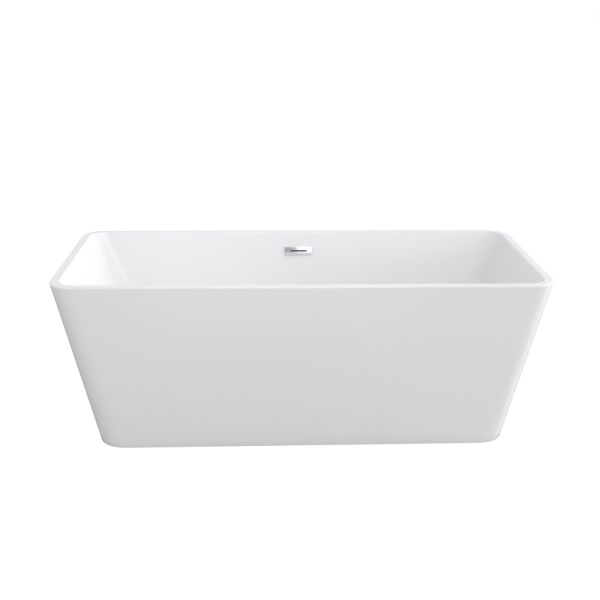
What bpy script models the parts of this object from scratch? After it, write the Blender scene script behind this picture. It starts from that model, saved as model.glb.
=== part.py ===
"""Freestanding double-ended bathtub with its frame, levelling feet, overflow and pop-up waste.

Metres, +Z up, +X along the tub and -Y towards the front. The origin is on the floor under the
middle of the tub. The basin and the skirt are two thin skins joined under the rim; the frame,
the feet and the waste fitting stand in the space between them.
"""

from math import acos, atan, cos, hypot, pi, radians, sin, sqrt, tan

import bmesh
import bpy
from mathutils import Matrix, Vector

for old_object in list(bpy.data.objects):
    bpy.data.objects.remove(old_object, do_unlink=True)

GAP = 0.0003                   # between pieces that touch on the real object

# Overall sizes.
TUB_LENGTH = 1.700
TUB_WIDTH = 0.800
TUB_HEIGHT = 0.600
END_FLARE = 0.1365             # how much further out each end is at the rim than at the floor
SIDE_FLARE = 0.0635
RIM_CORNER_RADIUS = 0.090
BASE_CORNER_RADIUS = 0.094
CORNER_STEPS = 8               # straight pieces in each quarter of a plan corner

# The two skins.
RIM_WIDTH = 0.032
RIM_EDGE = 0.006               # rounding of the rim's edges
LIP_HEIGHT = 0.012             # the rim's turned-down edge, top to bottom
BASIN_WALL = 0.006
SKIRT_WALL = 0.005
SKIRT_LIFT = 0.002             # the skirt stops this far above the floor
SKIRT_FLANGE = 0.018           # the skirt's top edge, turned inwards
BEAD_MARGIN = 0.001            # the adhesive stops short of the lip and of the flange's edge

# The inside of the basin.
SIDE_SLOPE = 0.20              # inward lean per unit of depth
END_SLOPE = 0.445
FLOOR_HEIGHT = 0.155
FLOOR_FALL = 0.006
FLOOR_FILLET = 0.070
FLOOR_CORNER_RADIUS = 0.110
FLOOR_THICKNESS = 0.007        # at the waste outlet, where the floor is thinnest
FILLET_STEPS = 4

# The frame.
BOARD_THICKNESS = 0.015
BOARD_END_MARGIN = 0.035       # from the board's end to the flat of the floor
BOARD_SIDE_MARGIN = 0.020
BOARD_HOLE_RADIUS = 0.055
RAIL_SIDE = 0.025
RAIL_WALL = 0.002
LONG_RAIL_INSET = 0.050        # from the board's long edge to the rail's middle
LONG_RAIL_OVERHANG = 0.020
CROSS_RAIL_INSET = 0.060       # from the long rail's end to the cross rail's middle
CROSS_RAIL_STOP = 0.060        # from the cross rail's end to the skirt
MIDDLE_RAIL_X = 0.170          # off centre, so that it passes beside the waste
CAP_PLATE = 0.002
CAP_PLUG = 0.008
SCREW_X = 0.300
SCREW_RADIUS = 0.0025
SCREW_BITE = 0.010
SCREW_HEAD_RADIUS = 0.0055
SCREW_HEAD_HEIGHT = 0.003

# The skirt's brackets.
BRACKET_WIDTH = 0.030
BRACKET_THICKNESS = 0.003
BRACKET_RISE = 0.055
BRACKET_GRIP = 0.026           # how much of the cross rail the bracket covers
BOLT_RADIUS = 0.003
BOLT_HEAD_RADIUS = 0.0055
BOLT_HEAD_HEIGHT = 0.004
BOLT_LENGTH = 0.012

# The levelling feet.
FOOT_FROM_RAIL_END = 0.040
PAD_RADIUS = 0.0225
PAD_EDGE_HEIGHT = 0.005
PAD_SOLE = 0.0014              # under the ball, before its socket is widened to turn freely
BALL_RADIUS = 0.0075
BALL_HEIGHT = PAD_SOLE + GAP + BALL_RADIUS
PAD_NECK_RADIUS = BALL_RADIUS + 0.0045
PAD_HEIGHT = BALL_HEIGHT + 0.64 * BALL_RADIUS   # high enough to hold the ball
NECK_RADIUS = 0.005
STUD_RADIUS = 0.0058
STUD_HEX_ACROSS = 0.014
STUD_HEX_BOTTOM = 0.020
STUD_HEX_HEIGHT = 0.008
STUD_ABOVE_RAIL = 0.007
NUT_ACROSS = 2 * STUD_RADIUS + 0.0074
NUT_HEIGHT = 0.010

# The waste outlet, at the middle of the floor.
BARREL_RADIUS = 0.022
OUTLET_BORE = BARREL_RADIUS - 0.003
BARREL_END = 0.022             # how far above the tee's side inlet the barrel ends
OUTLET_DISC_RADIUS = BARREL_RADIUS + 0.013
OUTLET_SEAT_HALF = OUTLET_DISC_RADIUS + 0.007   # flat round the outlet
OUTLET_DISC_THICKNESS = 0.003
GASKET_THICKNESS = 0.003
WASHER_THICKNESS = 0.0025
LOCKNUT_HEIGHT = 0.010
LOCKNUT_ACROSS = 2 * (BARREL_RADIUS + 0.009)
CLAMP_RADIUS = BARREL_RADIUS + 0.012
SPIDER_BAR = 0.004
SPIDER_HEIGHT = 0.005
HUB_RADIUS = 0.007
HUB_HEIGHT = 0.008
HUB_ABOVE_BARREL_END = 0.001

# The pop-up stopper.
STOPPER_TRAVEL = 0.010
STOPPER_RADIUS = OUTLET_DISC_RADIUS - 0.004
STOPPER_THICKNESS = 0.0065
SEAL_THICKNESS = 0.002
SEAL_INNER_RADIUS = OUTLET_BORE + 0.0025
SEAL_WIDTH = 0.005
STEM_RADIUS = 0.004
COLLAR_RADIUS = 0.0062
COLLAR_HEIGHT = 0.003

# The tee, the tail pipe and the overflow pipe.
TEE_RADIUS = BARREL_RADIUS + GAP + 0.0062
TEE_BELOW_INLET = 0.030
TEE_SOCKET = 0.010
BRANCH_END = 0.055
TAIL_RADIUS = OUTLET_BORE + 0.001
TAIL_WALL = 0.002
TAIL_END_HEIGHT = 0.012
PIPE_NUT_LENGTH = 0.012
TAIL_NUT_RADIUS = TAIL_RADIUS + 0.007
PIPE_WALL = 0.0015
BRANCH_WALL = 0.0032
PIPE_BELOW_RAIL = 0.002
PIPE_BEND_RADIUS = 0.060
PIPE_START_IN_TEE = 0.040

# The overflow, on the basin's back wall.
OVERFLOW_DROP = 0.075          # from the rim to the middle of the cover
COVER_WIDTH = 0.113
COVER_HEIGHT = 0.034
COVER_DEPTH = 0.010
COVER_SKIN = 0.002
COVER_CORNER = 0.003
COVER_EDGE = 0.0015
SLOT_WIDTH = 0.067
SLOT_HEIGHT = 0.006
OPENING_WIDTH = 0.070
OPENING_HEIGHT = 0.016
OVERFLOW_FRAME_MARGIN = 0.003  # from the frame's edge to the cover's inside
OVERFLOW_FRAME_THICKNESS = 0.0027
OVERFLOW_SCREW_X = 0.043
OVERFLOW_SCREW_RADIUS = 0.002
OVERFLOW_SCREW_LENGTH = 0.018
BODY_FLANGE_WIDTH = 0.100
BODY_FLANGE_HEIGHT = 0.038
BODY_FLANGE_THICKNESS = 0.004
BODY_WALL = 0.0025
SPIGOT_WALL = 0.0012
SPIGOT_STEP = 0.001            # from the body's front face to the spigot's near side
SPIGOT_CLEARANCE = 0.0009      # from the spigot to the skirt
SPIGOT_END = 0.045             # below the middle of the opening
PIPE_START = 0.022             # the pipe's top end, below the middle of the opening

# Levels that follow from the sizes above, from the rim and then the basin's floor down.
LIP_BOTTOM = TUB_HEIGHT - LIP_HEIGHT
SKIRT_TOP = LIP_BOTTOM - GAP
OVERFLOW_LEVEL = TUB_HEIGHT - OVERFLOW_DROP
SEAT_LEVEL = FLOOR_HEIGHT - FLOOR_FALL
UNDERSIDE = SEAT_LEVEL - FLOOR_THICKNESS
BOARD_TOP = UNDERSIDE - GAP
BOARD_BOTTOM = BOARD_TOP - BOARD_THICKNESS
LONG_RAIL_TOP = BOARD_BOTTOM - GAP
LONG_RAIL_BOTTOM = LONG_RAIL_TOP - RAIL_SIDE
CROSS_RAIL_TOP = LONG_RAIL_BOTTOM - GAP
CROSS_RAIL_BOTTOM = CROSS_RAIL_TOP - RAIL_SIDE
DISC_BOTTOM = SEAT_LEVEL + GAP
DISC_TOP = DISC_BOTTOM + OUTLET_DISC_THICKNESS
GASKET_TOP = UNDERSIDE - GAP
WASHER_TOP = GASKET_TOP - GASKET_THICKNESS - GAP
LOCKNUT_TOP = WASHER_TOP - WASHER_THICKNESS - GAP
TEE_TOP = LOCKNUT_TOP - LOCKNUT_HEIGHT - GAP


def material(name, colour, roughness, metallic=0.0):
    """A plain Principled material."""
    made = bpy.data.materials.new(name)
    made.use_nodes = True
    shader = made.node_tree.nodes["Principled BSDF"]
    shader.inputs["Base Color"].default_value = (*colour, 1.0)
    shader.inputs["Roughness"].default_value = roughness
    shader.inputs["Metallic"].default_value = metallic
    return made


WHITE_ACRYLIC = material("white_acrylic", (0.86, 0.86, 0.86), 0.12)
ADHESIVE = material("adhesive", (0.55, 0.54, 0.50), 0.6)
PLYWOOD = material("plywood", (0.52, 0.36, 0.20), 0.7)
GALVANISED = material("galvanised_steel", (0.55, 0.57, 0.59), 0.4, 1.0)
ZINC = material("zinc_fastener", (0.66, 0.66, 0.62), 0.3, 1.0)
CHROME = material("chrome", (0.80, 0.80, 0.82), 0.08, 1.0)
RUBBER = material("black_rubber", (0.03, 0.03, 0.03), 0.7)
GREY_PLASTIC = material("grey_plastic", (0.35, 0.36, 0.37), 0.45)
BLACK_PLASTIC = material("black_plastic", (0.04, 0.04, 0.045), 0.4)


def finish_object(name, bm, finish, parent=None, smooth_angle=35):
    """Turn a bmesh into a named object with outward faces."""
    bmesh.ops.recalc_face_normals(bm, faces=bm.faces)
    mesh = bpy.data.meshes.new(name)
    bm.to_mesh(mesh)
    bm.free()
    mesh.shade_smooth()
    mesh.set_sharp_from_angle(angle=radians(smooth_angle))
    made = bpy.data.objects.new(name, mesh)
    bpy.context.scene.collection.objects.link(made)
    made.parent = parent
    if finish is not None:
        mesh.materials.append(finish)
    return made


def loft(name, rings, finish, looped=False, parent=None, smooth_angle=35):
    """Skin a row of rings with equal point counts; capped at both ends, or looped into a ring."""
    bm = bmesh.new()
    loops = [[bm.verts.new(point) for point in ring] for ring in rings]
    pairs = list(zip(loops, loops[1:]))
    if looped:
        pairs.append((loops[-1], loops[0]))
    count = len(rings[0])
    for low, high in pairs:
        for i in range(count):
            j = (i + 1) % count
            bm.faces.new((low[i], low[j], high[j], high[i]))
    if not looped:
        bm.faces.new(loops[0])
        bm.faces.new(loops[-1])
    return finish_object(name, bm, finish, parent, smooth_angle)


def turned(name, profile, finish, ring=False, sides=24, parent=None):
    """Spin a profile of (radius, height) about Z; a ring's profile is closed on itself."""
    bm = bmesh.new()
    verts = [bm.verts.new((radius, 0.0, height)) for radius, height in profile]
    edges = [bm.edges.new(pair) for pair in zip(verts, verts[1:])]
    if ring:
        edges.append(bm.edges.new((verts[-1], verts[0])))
    bmesh.ops.spin(bm, geom=verts + edges, cent=(0, 0, 0), axis=(0, 0, 1), angle=2 * pi, steps=sides)
    bmesh.ops.remove_doubles(bm, verts=bm.verts, dist=0.00001)
    return finish_object(name, bm, finish, parent)


def rounded(half_x, half_y, radius, z=0.0, steps=CORNER_STEPS):
    """A rounded rectangle's points at one height."""
    radius = min(radius, half_x - GAP, half_y - GAP)
    points = []
    for quarter, (side_x, side_y) in enumerate(((1, 1), (-1, 1), (-1, -1), (1, -1))):
        centre = Vector((side_x * (half_x - radius), side_y * (half_y - radius), z))
        for step in range(steps + 1):
            angle = (quarter + step / steps) * pi / 2
            points.append(centre + radius * Vector((cos(angle), sin(angle), 0)))
    return points


def square(half, x):
    """A square of four points across the X axis."""
    return [Vector((x, half * sy, half * sz)) for sy, sz in ((1, 1), (-1, 1), (-1, -1), (1, -1))]


def hexagon(across, z):
    """A hexagon's corners at one height, from its size across flats."""
    corner = across / sqrt(3)
    return [Vector((corner * cos(k * pi / 3), corner * sin(k * pi / 3), z)) for k in range(6)]


def tool(cutter):
    """Hide a shape that only cuts or joins another."""
    cutter.hide_render = True
    cutter.display_type = "WIRE"
    return cutter


def rod(name, radius, start, end, parent=None, sides=24):
    """A solid cylinder between two points, for cutting and joining."""
    start, end = Vector(start), Vector(end)
    bm = bmesh.new()
    bmesh.ops.create_cone(bm, cap_ends=True, segments=sides, radius1=radius, radius2=radius,
                          depth=(end - start).length)
    turn = (end - start).to_track_quat("Z", "Y").to_matrix().to_4x4()
    bmesh.ops.transform(bm, matrix=Matrix.Translation((start + end) / 2) @ turn, verts=bm.verts)
    return finish_object(name, bm, None, parent)


def boolean(target, shape, operation="DIFFERENCE"):
    """Cut a shape from a piece, or join it to the piece."""
    step = target.modifiers.new(f"{operation.lower()}_{shape.name}", "BOOLEAN")
    step.operation = operation
    step.solver = "EXACT"
    step.object = tool(shape)


def drill(target, radius, start, end, parent=None, sides=16):
    """Drill a round hole through a piece."""
    count = sum(1 for step in target.modifiers if step.type == "BOOLEAN")
    boolean(target, rod(f"{target.name}_hole_{count}", radius, start, end, parent, sides))


def block(name, low, high, finish, parent=None):
    """A box from its lowest and highest corners."""
    low, high = Vector(low), Vector(high)
    bm = bmesh.new()
    bmesh.ops.create_cube(bm, size=1.0)
    bmesh.ops.scale(bm, vec=high - low, verts=bm.verts)
    bmesh.ops.translate(bm, vec=(low + high) / 2, verts=bm.verts)
    return finish_object(name, bm, finish, parent)


def empty(name, location, rotation=(0, 0, 0)):
    """An axis that pieces hang on."""
    made = bpy.data.objects.new(name, None)
    made.location = location
    made.rotation_euler = rotation
    bpy.context.scene.collection.objects.link(made)
    bpy.context.view_layer.update()
    return made


# ---- the tub's own curves ----------------------------------------------------------------

def blend(low, high, share):
    """A value part of the way from one to another."""
    return low + (high - low) * share


def outside_half(z):
    """Half length and half width of the outer face at a height; it is full under the rim's rounding."""
    full = TUB_HEIGHT - RIM_EDGE
    missing = max(full - z, 0.0) / full
    return TUB_LENGTH / 2 - END_FLARE * missing, TUB_WIDTH / 2 - SIDE_FLARE * missing


def outside_ring(z, inset=0.0, level=None):
    """The skirt's outline at a height, moved inwards, and drawn at a level of its own if given."""
    half_x, half_y = outside_half(z)
    radius = blend(BASE_CORNER_RADIUS, RIM_CORNER_RADIUS, z / TUB_HEIGHT)
    return rounded(half_x - inset, half_y - inset, radius - inset, z if level is None else level)


def wall_distance(z, half_at_rim, slope):
    """Distance of the basin's inner face from its middle plane, with the fillet to the floor."""
    lean = atan(slope)
    touch = FLOOR_HEIGHT + FLOOR_FILLET * (1 - sin(lean))
    centre = half_at_rim - slope * (TUB_HEIGHT - touch) - FLOOR_FILLET * cos(lean)
    if z >= touch:
        return half_at_rim - slope * (TUB_HEIGHT - z)
    below = FLOOR_HEIGHT + FLOOR_FILLET - z
    return centre + sqrt(max(FLOOR_FILLET**2 - below**2, 0.0))


def inside_half(z):
    """Half length and half width of the basin's inner face at a height."""
    return (wall_distance(z, TUB_LENGTH / 2 - RIM_WIDTH, END_SLOPE),
            wall_distance(z, TUB_WIDTH / 2 - RIM_WIDTH, SIDE_SLOPE))


def inside_ring(z, out_x=0.0, out_y=0.0, level=None):
    """The basin's inner outline at a height, moved outwards by the wall."""
    half_x, half_y = inside_half(z)
    share = (z - FLOOR_HEIGHT) / (TUB_HEIGHT - FLOOR_HEIGHT)
    radius = blend(FLOOR_CORNER_RADIUS, RIM_CORNER_RADIUS - RIM_WIDTH, share)
    return rounded(half_x + out_x, half_y + out_y, radius + (out_x + out_y) / 2,
                   z if level is None else level)


def make_basin():
    """The inner skin: seat of the outlet, floor, walls, rim and lip, and back down the outside."""
    side_wall = BASIN_WALL * hypot(1, SIDE_SLOPE)
    end_wall = BASIN_WALL * hypot(1, END_SLOPE)
    angles = [radians(90) * step / FILLET_STEPS for step in range(FILLET_STEPS + 1)]
    levels = [FLOOR_HEIGHT + FLOOR_FILLET * (1 - cos(angle)) for angle in angles]
    edge_drop = 0.3 * RIM_EDGE                     # where a rounding's middle point lies
    top = TUB_HEIGHT
    rings = [rounded(OUTLET_SEAT_HALF, OUTLET_SEAT_HALF, 0.9 * OUTLET_SEAT_HALF, SEAT_LEVEL)]
    rings += [inside_ring(z) for z in levels]
    rings += [
        inside_ring(top - RIM_EDGE),
        inside_ring(top, edge_drop, edge_drop, top - edge_drop),
        inside_ring(top, RIM_EDGE, RIM_EDGE),
        outside_ring(top, RIM_EDGE),
        outside_ring(top, edge_drop, top - edge_drop),
        outside_ring(top - RIM_EDGE),
        outside_ring(LIP_BOTTOM),
        outside_ring(LIP_BOTTOM, BASIN_WALL),
        outside_ring(LIP_BOTTOM, BASIN_WALL, top - BASIN_WALL),
        inside_ring(top - BASIN_WALL, end_wall, side_wall),
    ]
    edge_thickness = FLOOR_HEIGHT - UNDERSIDE
    for step in range(FILLET_STEPS, -1, -1):
        angle, z = angles[step], levels[step]
        if step == FILLET_STEPS:
            rings.append(inside_ring(z, end_wall, side_wall))
            continue
        thickness = blend(edge_thickness, BASIN_WALL, step / FILLET_STEPS)
        out = thickness * sin(angle)
        rings.append(inside_ring(z, out, out, z - thickness * cos(angle)))
    basin = loft("basin", rings, WHITE_ACRYLIC)
    drill(basin, BARREL_RADIUS + 5 * GAP, (0, 0, UNDERSIDE - 0.01), (0, 0, SEAT_LEVEL + 0.01), sides=24)
    return basin


def make_skirt():
    """The outer skin and the adhesive that joins its flange to the rim."""
    rings = [
        outside_ring(SKIRT_LIFT),
        outside_ring(SKIRT_TOP),
        outside_ring(SKIRT_TOP, SKIRT_FLANGE),
        outside_ring(SKIRT_TOP - SKIRT_WALL, SKIRT_FLANGE),
        outside_ring(SKIRT_TOP - SKIRT_WALL, SKIRT_WALL),
        outside_ring(SKIRT_LIFT, SKIRT_WALL),
    ]
    loft("outer_skirt", rings, WHITE_ACRYLIC, looped=True)
    bead_top = TUB_HEIGHT - BASIN_WALL - GAP
    near, far = BASIN_WALL + BEAD_MARGIN, SKIRT_FLANGE - BEAD_MARGIN
    bead = [
        outside_ring(SKIRT_TOP, near, SKIRT_TOP + GAP),
        outside_ring(SKIRT_TOP, near, bead_top),
        outside_ring(SKIRT_TOP, far, bead_top),
        outside_ring(SKIRT_TOP, far, SKIRT_TOP + GAP),
    ]
    loft("bond_bead", bead, ADHESIVE, looped=True)


# ---- the frame ---------------------------------------------------------------------------

FLAT_HALF_X, FLAT_HALF_Y = inside_half(FLOOR_HEIGHT)
BOARD_HALF_X = FLAT_HALF_X - BOARD_END_MARGIN
BOARD_HALF_Y = FLAT_HALF_Y - BOARD_SIDE_MARGIN
LONG_RAIL_HALF = BOARD_HALF_X + LONG_RAIL_OVERHANG
LONG_RAIL_Y = BOARD_HALF_Y - LONG_RAIL_INSET
CROSS_RAIL_X = LONG_RAIL_HALF - CROSS_RAIL_INSET
CROSS_RAIL_HALF = outside_half(CROSS_RAIL_TOP)[1] - SKIRT_WALL - CROSS_RAIL_STOP
FOOT_Y = CROSS_RAIL_HALF - FOOT_FROM_RAIL_END


def square_tube(name, half_length, finish):
    """A square tube along X, centred on the origin and open at both ends."""
    outer, inner = RAIL_SIDE / 2, RAIL_SIDE / 2 - RAIL_WALL
    rings = [square(outer, -half_length), square(outer, half_length),
             square(inner, half_length), square(inner, -half_length)]
    return loft(name, rings, finish, looped=True)


def make_frame():
    """Board, long rails with caps and screws, and cross rails."""
    board = block("base_board", (-BOARD_HALF_X, -BOARD_HALF_Y, BOARD_BOTTOM),
                  (BOARD_HALF_X, BOARD_HALF_Y, BOARD_TOP), PLYWOOD)
    drill(board, BOARD_HOLE_RADIUS, (0, 0, BOARD_BOTTOM - 0.01), (0, 0, BOARD_TOP + 0.01), sides=32)
    for side, y in (("front", -LONG_RAIL_Y), ("back", LONG_RAIL_Y)):
        rail = square_tube(f"long_rail_{side}", LONG_RAIL_HALF, GALVANISED)
        rail.location = (0, y, LONG_RAIL_BOTTOM + RAIL_SIDE / 2)
        for hand, sign in (("left", -1), ("right", 1)):
            make_rail_cap(f"rail_cap_{side}_{hand}", sign, rail.location)
            x = sign * SCREW_X
            make_board_screw(f"board_screw_{side}_{hand}", x, y)
            hole_top = BOARD_BOTTOM + SCREW_BITE + GAP
            for piece in (rail, board):
                drill(piece, SCREW_RADIUS + GAP, (x, y, LONG_RAIL_BOTTOM - 0.01), (x, y, hole_top))
    for place, x in (("left", -CROSS_RAIL_X), ("middle", MIDDLE_RAIL_X), ("right", CROSS_RAIL_X)):
        rail = square_tube(f"cross_rail_{place}", CROSS_RAIL_HALF, GALVANISED)
        rail.location = (x, 0, CROSS_RAIL_BOTTOM + RAIL_SIDE / 2)
        rail.rotation_euler = (0, 0, pi / 2)


def make_rail_cap(name, sign, rail_middle):
    """A plastic plug with a square plate, in one end of a long rail."""
    plug_half = RAIL_SIDE / 2 - RAIL_WALL - GAP
    end = LONG_RAIL_HALF + GAP
    rings = [square(plug_half, end - CAP_PLUG), square(plug_half, end),
             square(RAIL_SIDE / 2, end), square(RAIL_SIDE / 2, end + CAP_PLATE)]
    cap = loft(name, rings, BLACK_PLASTIC)
    cap.location = rail_middle
    cap.rotation_euler = (0, 0, 0 if sign > 0 else pi)


def make_board_screw(name, x, y):
    """A screw up through a long rail into the board."""
    head_top = LONG_RAIL_BOTTOM - GAP
    head_bottom = head_top - SCREW_HEAD_HEIGHT
    tip = BOARD_BOTTOM + SCREW_BITE
    profile = [(0, head_bottom), (0.7 * SCREW_HEAD_RADIUS, head_bottom),
               (SCREW_HEAD_RADIUS, head_top - 0.3 * SCREW_HEAD_HEIGHT), (SCREW_HEAD_RADIUS, head_top),
               (SCREW_RADIUS, head_top), (SCREW_RADIUS, tip - 2 * SCREW_RADIUS), (0, tip)]
    screw = turned(name, profile, ZINC, sides=12)
    screw.location = (x, y, 0)


def make_brackets():
    """Four angles from the outer cross rails to the skirt, each with its bolt."""
    bottom = CROSS_RAIL_TOP + GAP
    top = bottom + BRACKET_RISE
    foot_in = CROSS_RAIL_HALF - BRACKET_GRIP
    bolt_y = CROSS_RAIL_HALF - BRACKET_GRIP / 2

    def skirt_face(z):
        return outside_half(z)[1] - SKIRT_WALL * hypot(1, SIDE_FLARE / TUB_HEIGHT) - GAP

    profile = [(foot_in, bottom), (skirt_face(bottom), bottom), (skirt_face(top), top),
               (skirt_face(top) - BRACKET_THICKNESS, top),
               (skirt_face(bottom) - BRACKET_THICKNESS, bottom + BRACKET_THICKNESS),
               (foot_in, bottom + BRACKET_THICKNESS)]
    for hand, x in (("left", -CROSS_RAIL_X), ("right", CROSS_RAIL_X)):
        for side, sign in (("front", -1), ("back", 1)):
            rings = [[Vector((x + end, sign * y, z)) for y, z in profile]
                     for end in (-BRACKET_WIDTH / 2, BRACKET_WIDTH / 2)]
            bracket = loft(f"skirt_bracket_{side}_{hand}", rings, GALVANISED)
            bolt_place = Vector((x, sign * bolt_y, 0))
            make_bracket_bolt(f"bracket_bolt_{side}_{hand}", bolt_place, bottom + BRACKET_THICKNESS)
            for piece in (bracket, bpy.data.objects[f"cross_rail_{hand}"]):
                drill(piece, BOLT_RADIUS + GAP, bolt_place + Vector((0, 0, bottom - RAIL_SIDE / 2)),
                      bolt_place + Vector((0, 0, bottom + 2 * BRACKET_THICKNESS)))


def make_bracket_bolt(name, place, seat):
    """A hexagon bolt, its head on the bracket."""
    under_head = seat + GAP
    head = [hexagon(sqrt(3) * BOLT_HEAD_RADIUS, under_head),
            hexagon(sqrt(3) * BOLT_HEAD_RADIUS, under_head + BOLT_HEAD_HEIGHT)]
    bolt = loft(name, head, ZINC)
    bolt.location = place
    shank = rod(f"{name}_shank", BOLT_RADIUS, place + Vector((0, 0, under_head - BOLT_LENGTH)),
                place + Vector((0, 0, under_head + BOLT_HEAD_HEIGHT / 2)), sides=12)
    boolean(bolt, shank, "UNION")


# ---- the levelling feet ------------------------------------------------------------------

def make_feet():
    """Five feet, each with a pad, a stud with a ball end, and a nut under its cross rail."""
    places = {
        "front_left": (-CROSS_RAIL_X, -FOOT_Y, "left"),
        "front_right": (CROSS_RAIL_X, -FOOT_Y, "right"),
        "back_left": (-CROSS_RAIL_X, FOOT_Y, "left"),
        "back_right": (CROSS_RAIL_X, FOOT_Y, "right"),
        "middle": (MIDDLE_RAIL_X, 0.0, "middle"),
    }
    for name, (x, y, rail) in places.items():
        axis = empty(f"foot_axis_{name}", (x, y, 0))
        make_pad(f"foot_pad_{name}", axis)
        make_stud(f"foot_stud_{name}", axis)
        make_foot_nut(f"foot_nut_{name}", axis)
        drill(bpy.data.objects[f"cross_rail_{rail}"], STUD_RADIUS + 2 * GAP,
              (x, y, CROSS_RAIL_BOTTOM - 0.01), (x, y, CROSS_RAIL_TOP + 0.01))


def make_pad(name, axis):
    """A round pad with a socket for the stud's ball."""
    profile = [(0, 0), (PAD_RADIUS - 0.001, 0), (PAD_RADIUS, 0.001), (PAD_RADIUS, PAD_EDGE_HEIGHT),
               (PAD_NECK_RADIUS + 0.001, PAD_EDGE_HEIGHT + 0.003), (PAD_NECK_RADIUS, PAD_HEIGHT),
               (0, PAD_HEIGHT)]
    pad = turned(name, profile, BLACK_PLASTIC, sides=24, parent=axis)
    steps, sides = 6, 16
    flat_share = cos(pi / (2 * steps)) * cos(pi / sides)    # how near the socket's flats come
    socket_radius = (BALL_RADIUS + GAP) / flat_share
    ball = [(socket_radius * sin(pi * k / steps), BALL_HEIGHT - socket_radius * cos(pi * k / steps))
            for k in range(steps + 1)]
    boolean(pad, turned(f"{name}_socket", ball, None, sides=sides, parent=axis))


def make_stud(name, axis):
    """A threaded stud: ball end, neck, hexagon for a spanner, and rod."""
    steps = 6
    neck_angle = pi - atan(NECK_RADIUS / sqrt(BALL_RADIUS**2 - NECK_RADIUS**2))
    angles = [neck_angle * k / steps for k in range(steps + 1)]
    profile = [(BALL_RADIUS * sin(angle), BALL_HEIGHT - BALL_RADIUS * cos(angle)) for angle in angles]
    rod_top = CROSS_RAIL_TOP + STUD_ABOVE_RAIL
    hex_top = STUD_HEX_BOTTOM + STUD_HEX_HEIGHT
    profile += [(NECK_RADIUS, hex_top), (STUD_RADIUS, hex_top), (STUD_RADIUS, rod_top - 0.001),
                (STUD_RADIUS - 0.001, rod_top), (0, rod_top)]
    stud = turned(name, profile, ZINC, sides=16, parent=axis)
    flats = [hexagon(STUD_HEX_ACROSS, STUD_HEX_BOTTOM), hexagon(STUD_HEX_ACROSS, hex_top)]
    boolean(stud, loft(f"{name}_flats", flats, None, parent=axis), "UNION")


def make_foot_nut(name, axis):
    """A hexagon nut fixed under the cross rail."""
    top = CROSS_RAIL_BOTTOM - GAP
    nut = loft(name, [hexagon(NUT_ACROSS, top - NUT_HEIGHT), hexagon(NUT_ACROSS, top)], ZINC, parent=axis)
    drill(nut, STUD_RADIUS + GAP, (0, 0, top - 2 * NUT_HEIGHT), (0, 0, top + 0.01), parent=axis)


# ---- the room for the overflow -------------------------------------------------------------

# The overflow pipe is as thick as the room between the two skins allows at the overflow.
WALL_LEAN = atan(SIDE_SLOPE)
OVERFLOW_POINT = Vector((0, inside_half(OVERFLOW_LEVEL)[1], OVERFLOW_LEVEL))
BODY_FRONT = -BASIN_WALL - GASKET_THICKNESS - 2 * GAP
SKIRT_FACE = outside_half(OVERFLOW_LEVEL)[1] - SKIRT_WALL
ROOM = (SKIRT_FACE - OVERFLOW_POINT.y) / (cos(WALL_LEAN) + sin(WALL_LEAN) * SIDE_FLARE / TUB_HEIGHT)
SPIGOT_RADIUS = (ROOM + BODY_FRONT - SPIGOT_STEP - SPIGOT_CLEARANCE) / 2
PIPE_AXIS_DEPTH = BODY_FRONT - SPIGOT_STEP - SPIGOT_RADIUS
PIPE_RADIUS = SPIGOT_RADIUS - SPIGOT_WALL - GAP
BRANCH_RADIUS = PIPE_RADIUS + GAP + BRANCH_WALL
PIPE_NUT_RADIUS = BRANCH_RADIUS
BODY_DEPTH = SPIGOT_STEP + 2 * SPIGOT_RADIUS - 0.0015
INLET_LEVEL = LONG_RAIL_BOTTOM - PIPE_BELOW_RAIL - PIPE_RADIUS
BARREL_BOTTOM = INLET_LEVEL + BARREL_END


# ---- the waste outlet, the stopper and the tee ---------------------------------------------

def washer(name, inner, outer, bottom, top, finish, sides=24):
    """A flat ring about the outlet's axis."""
    return turned(name, [(outer, bottom), (outer, top), (inner, top), (inner, bottom)], finish, ring=True,
                  sides=sides)


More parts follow.
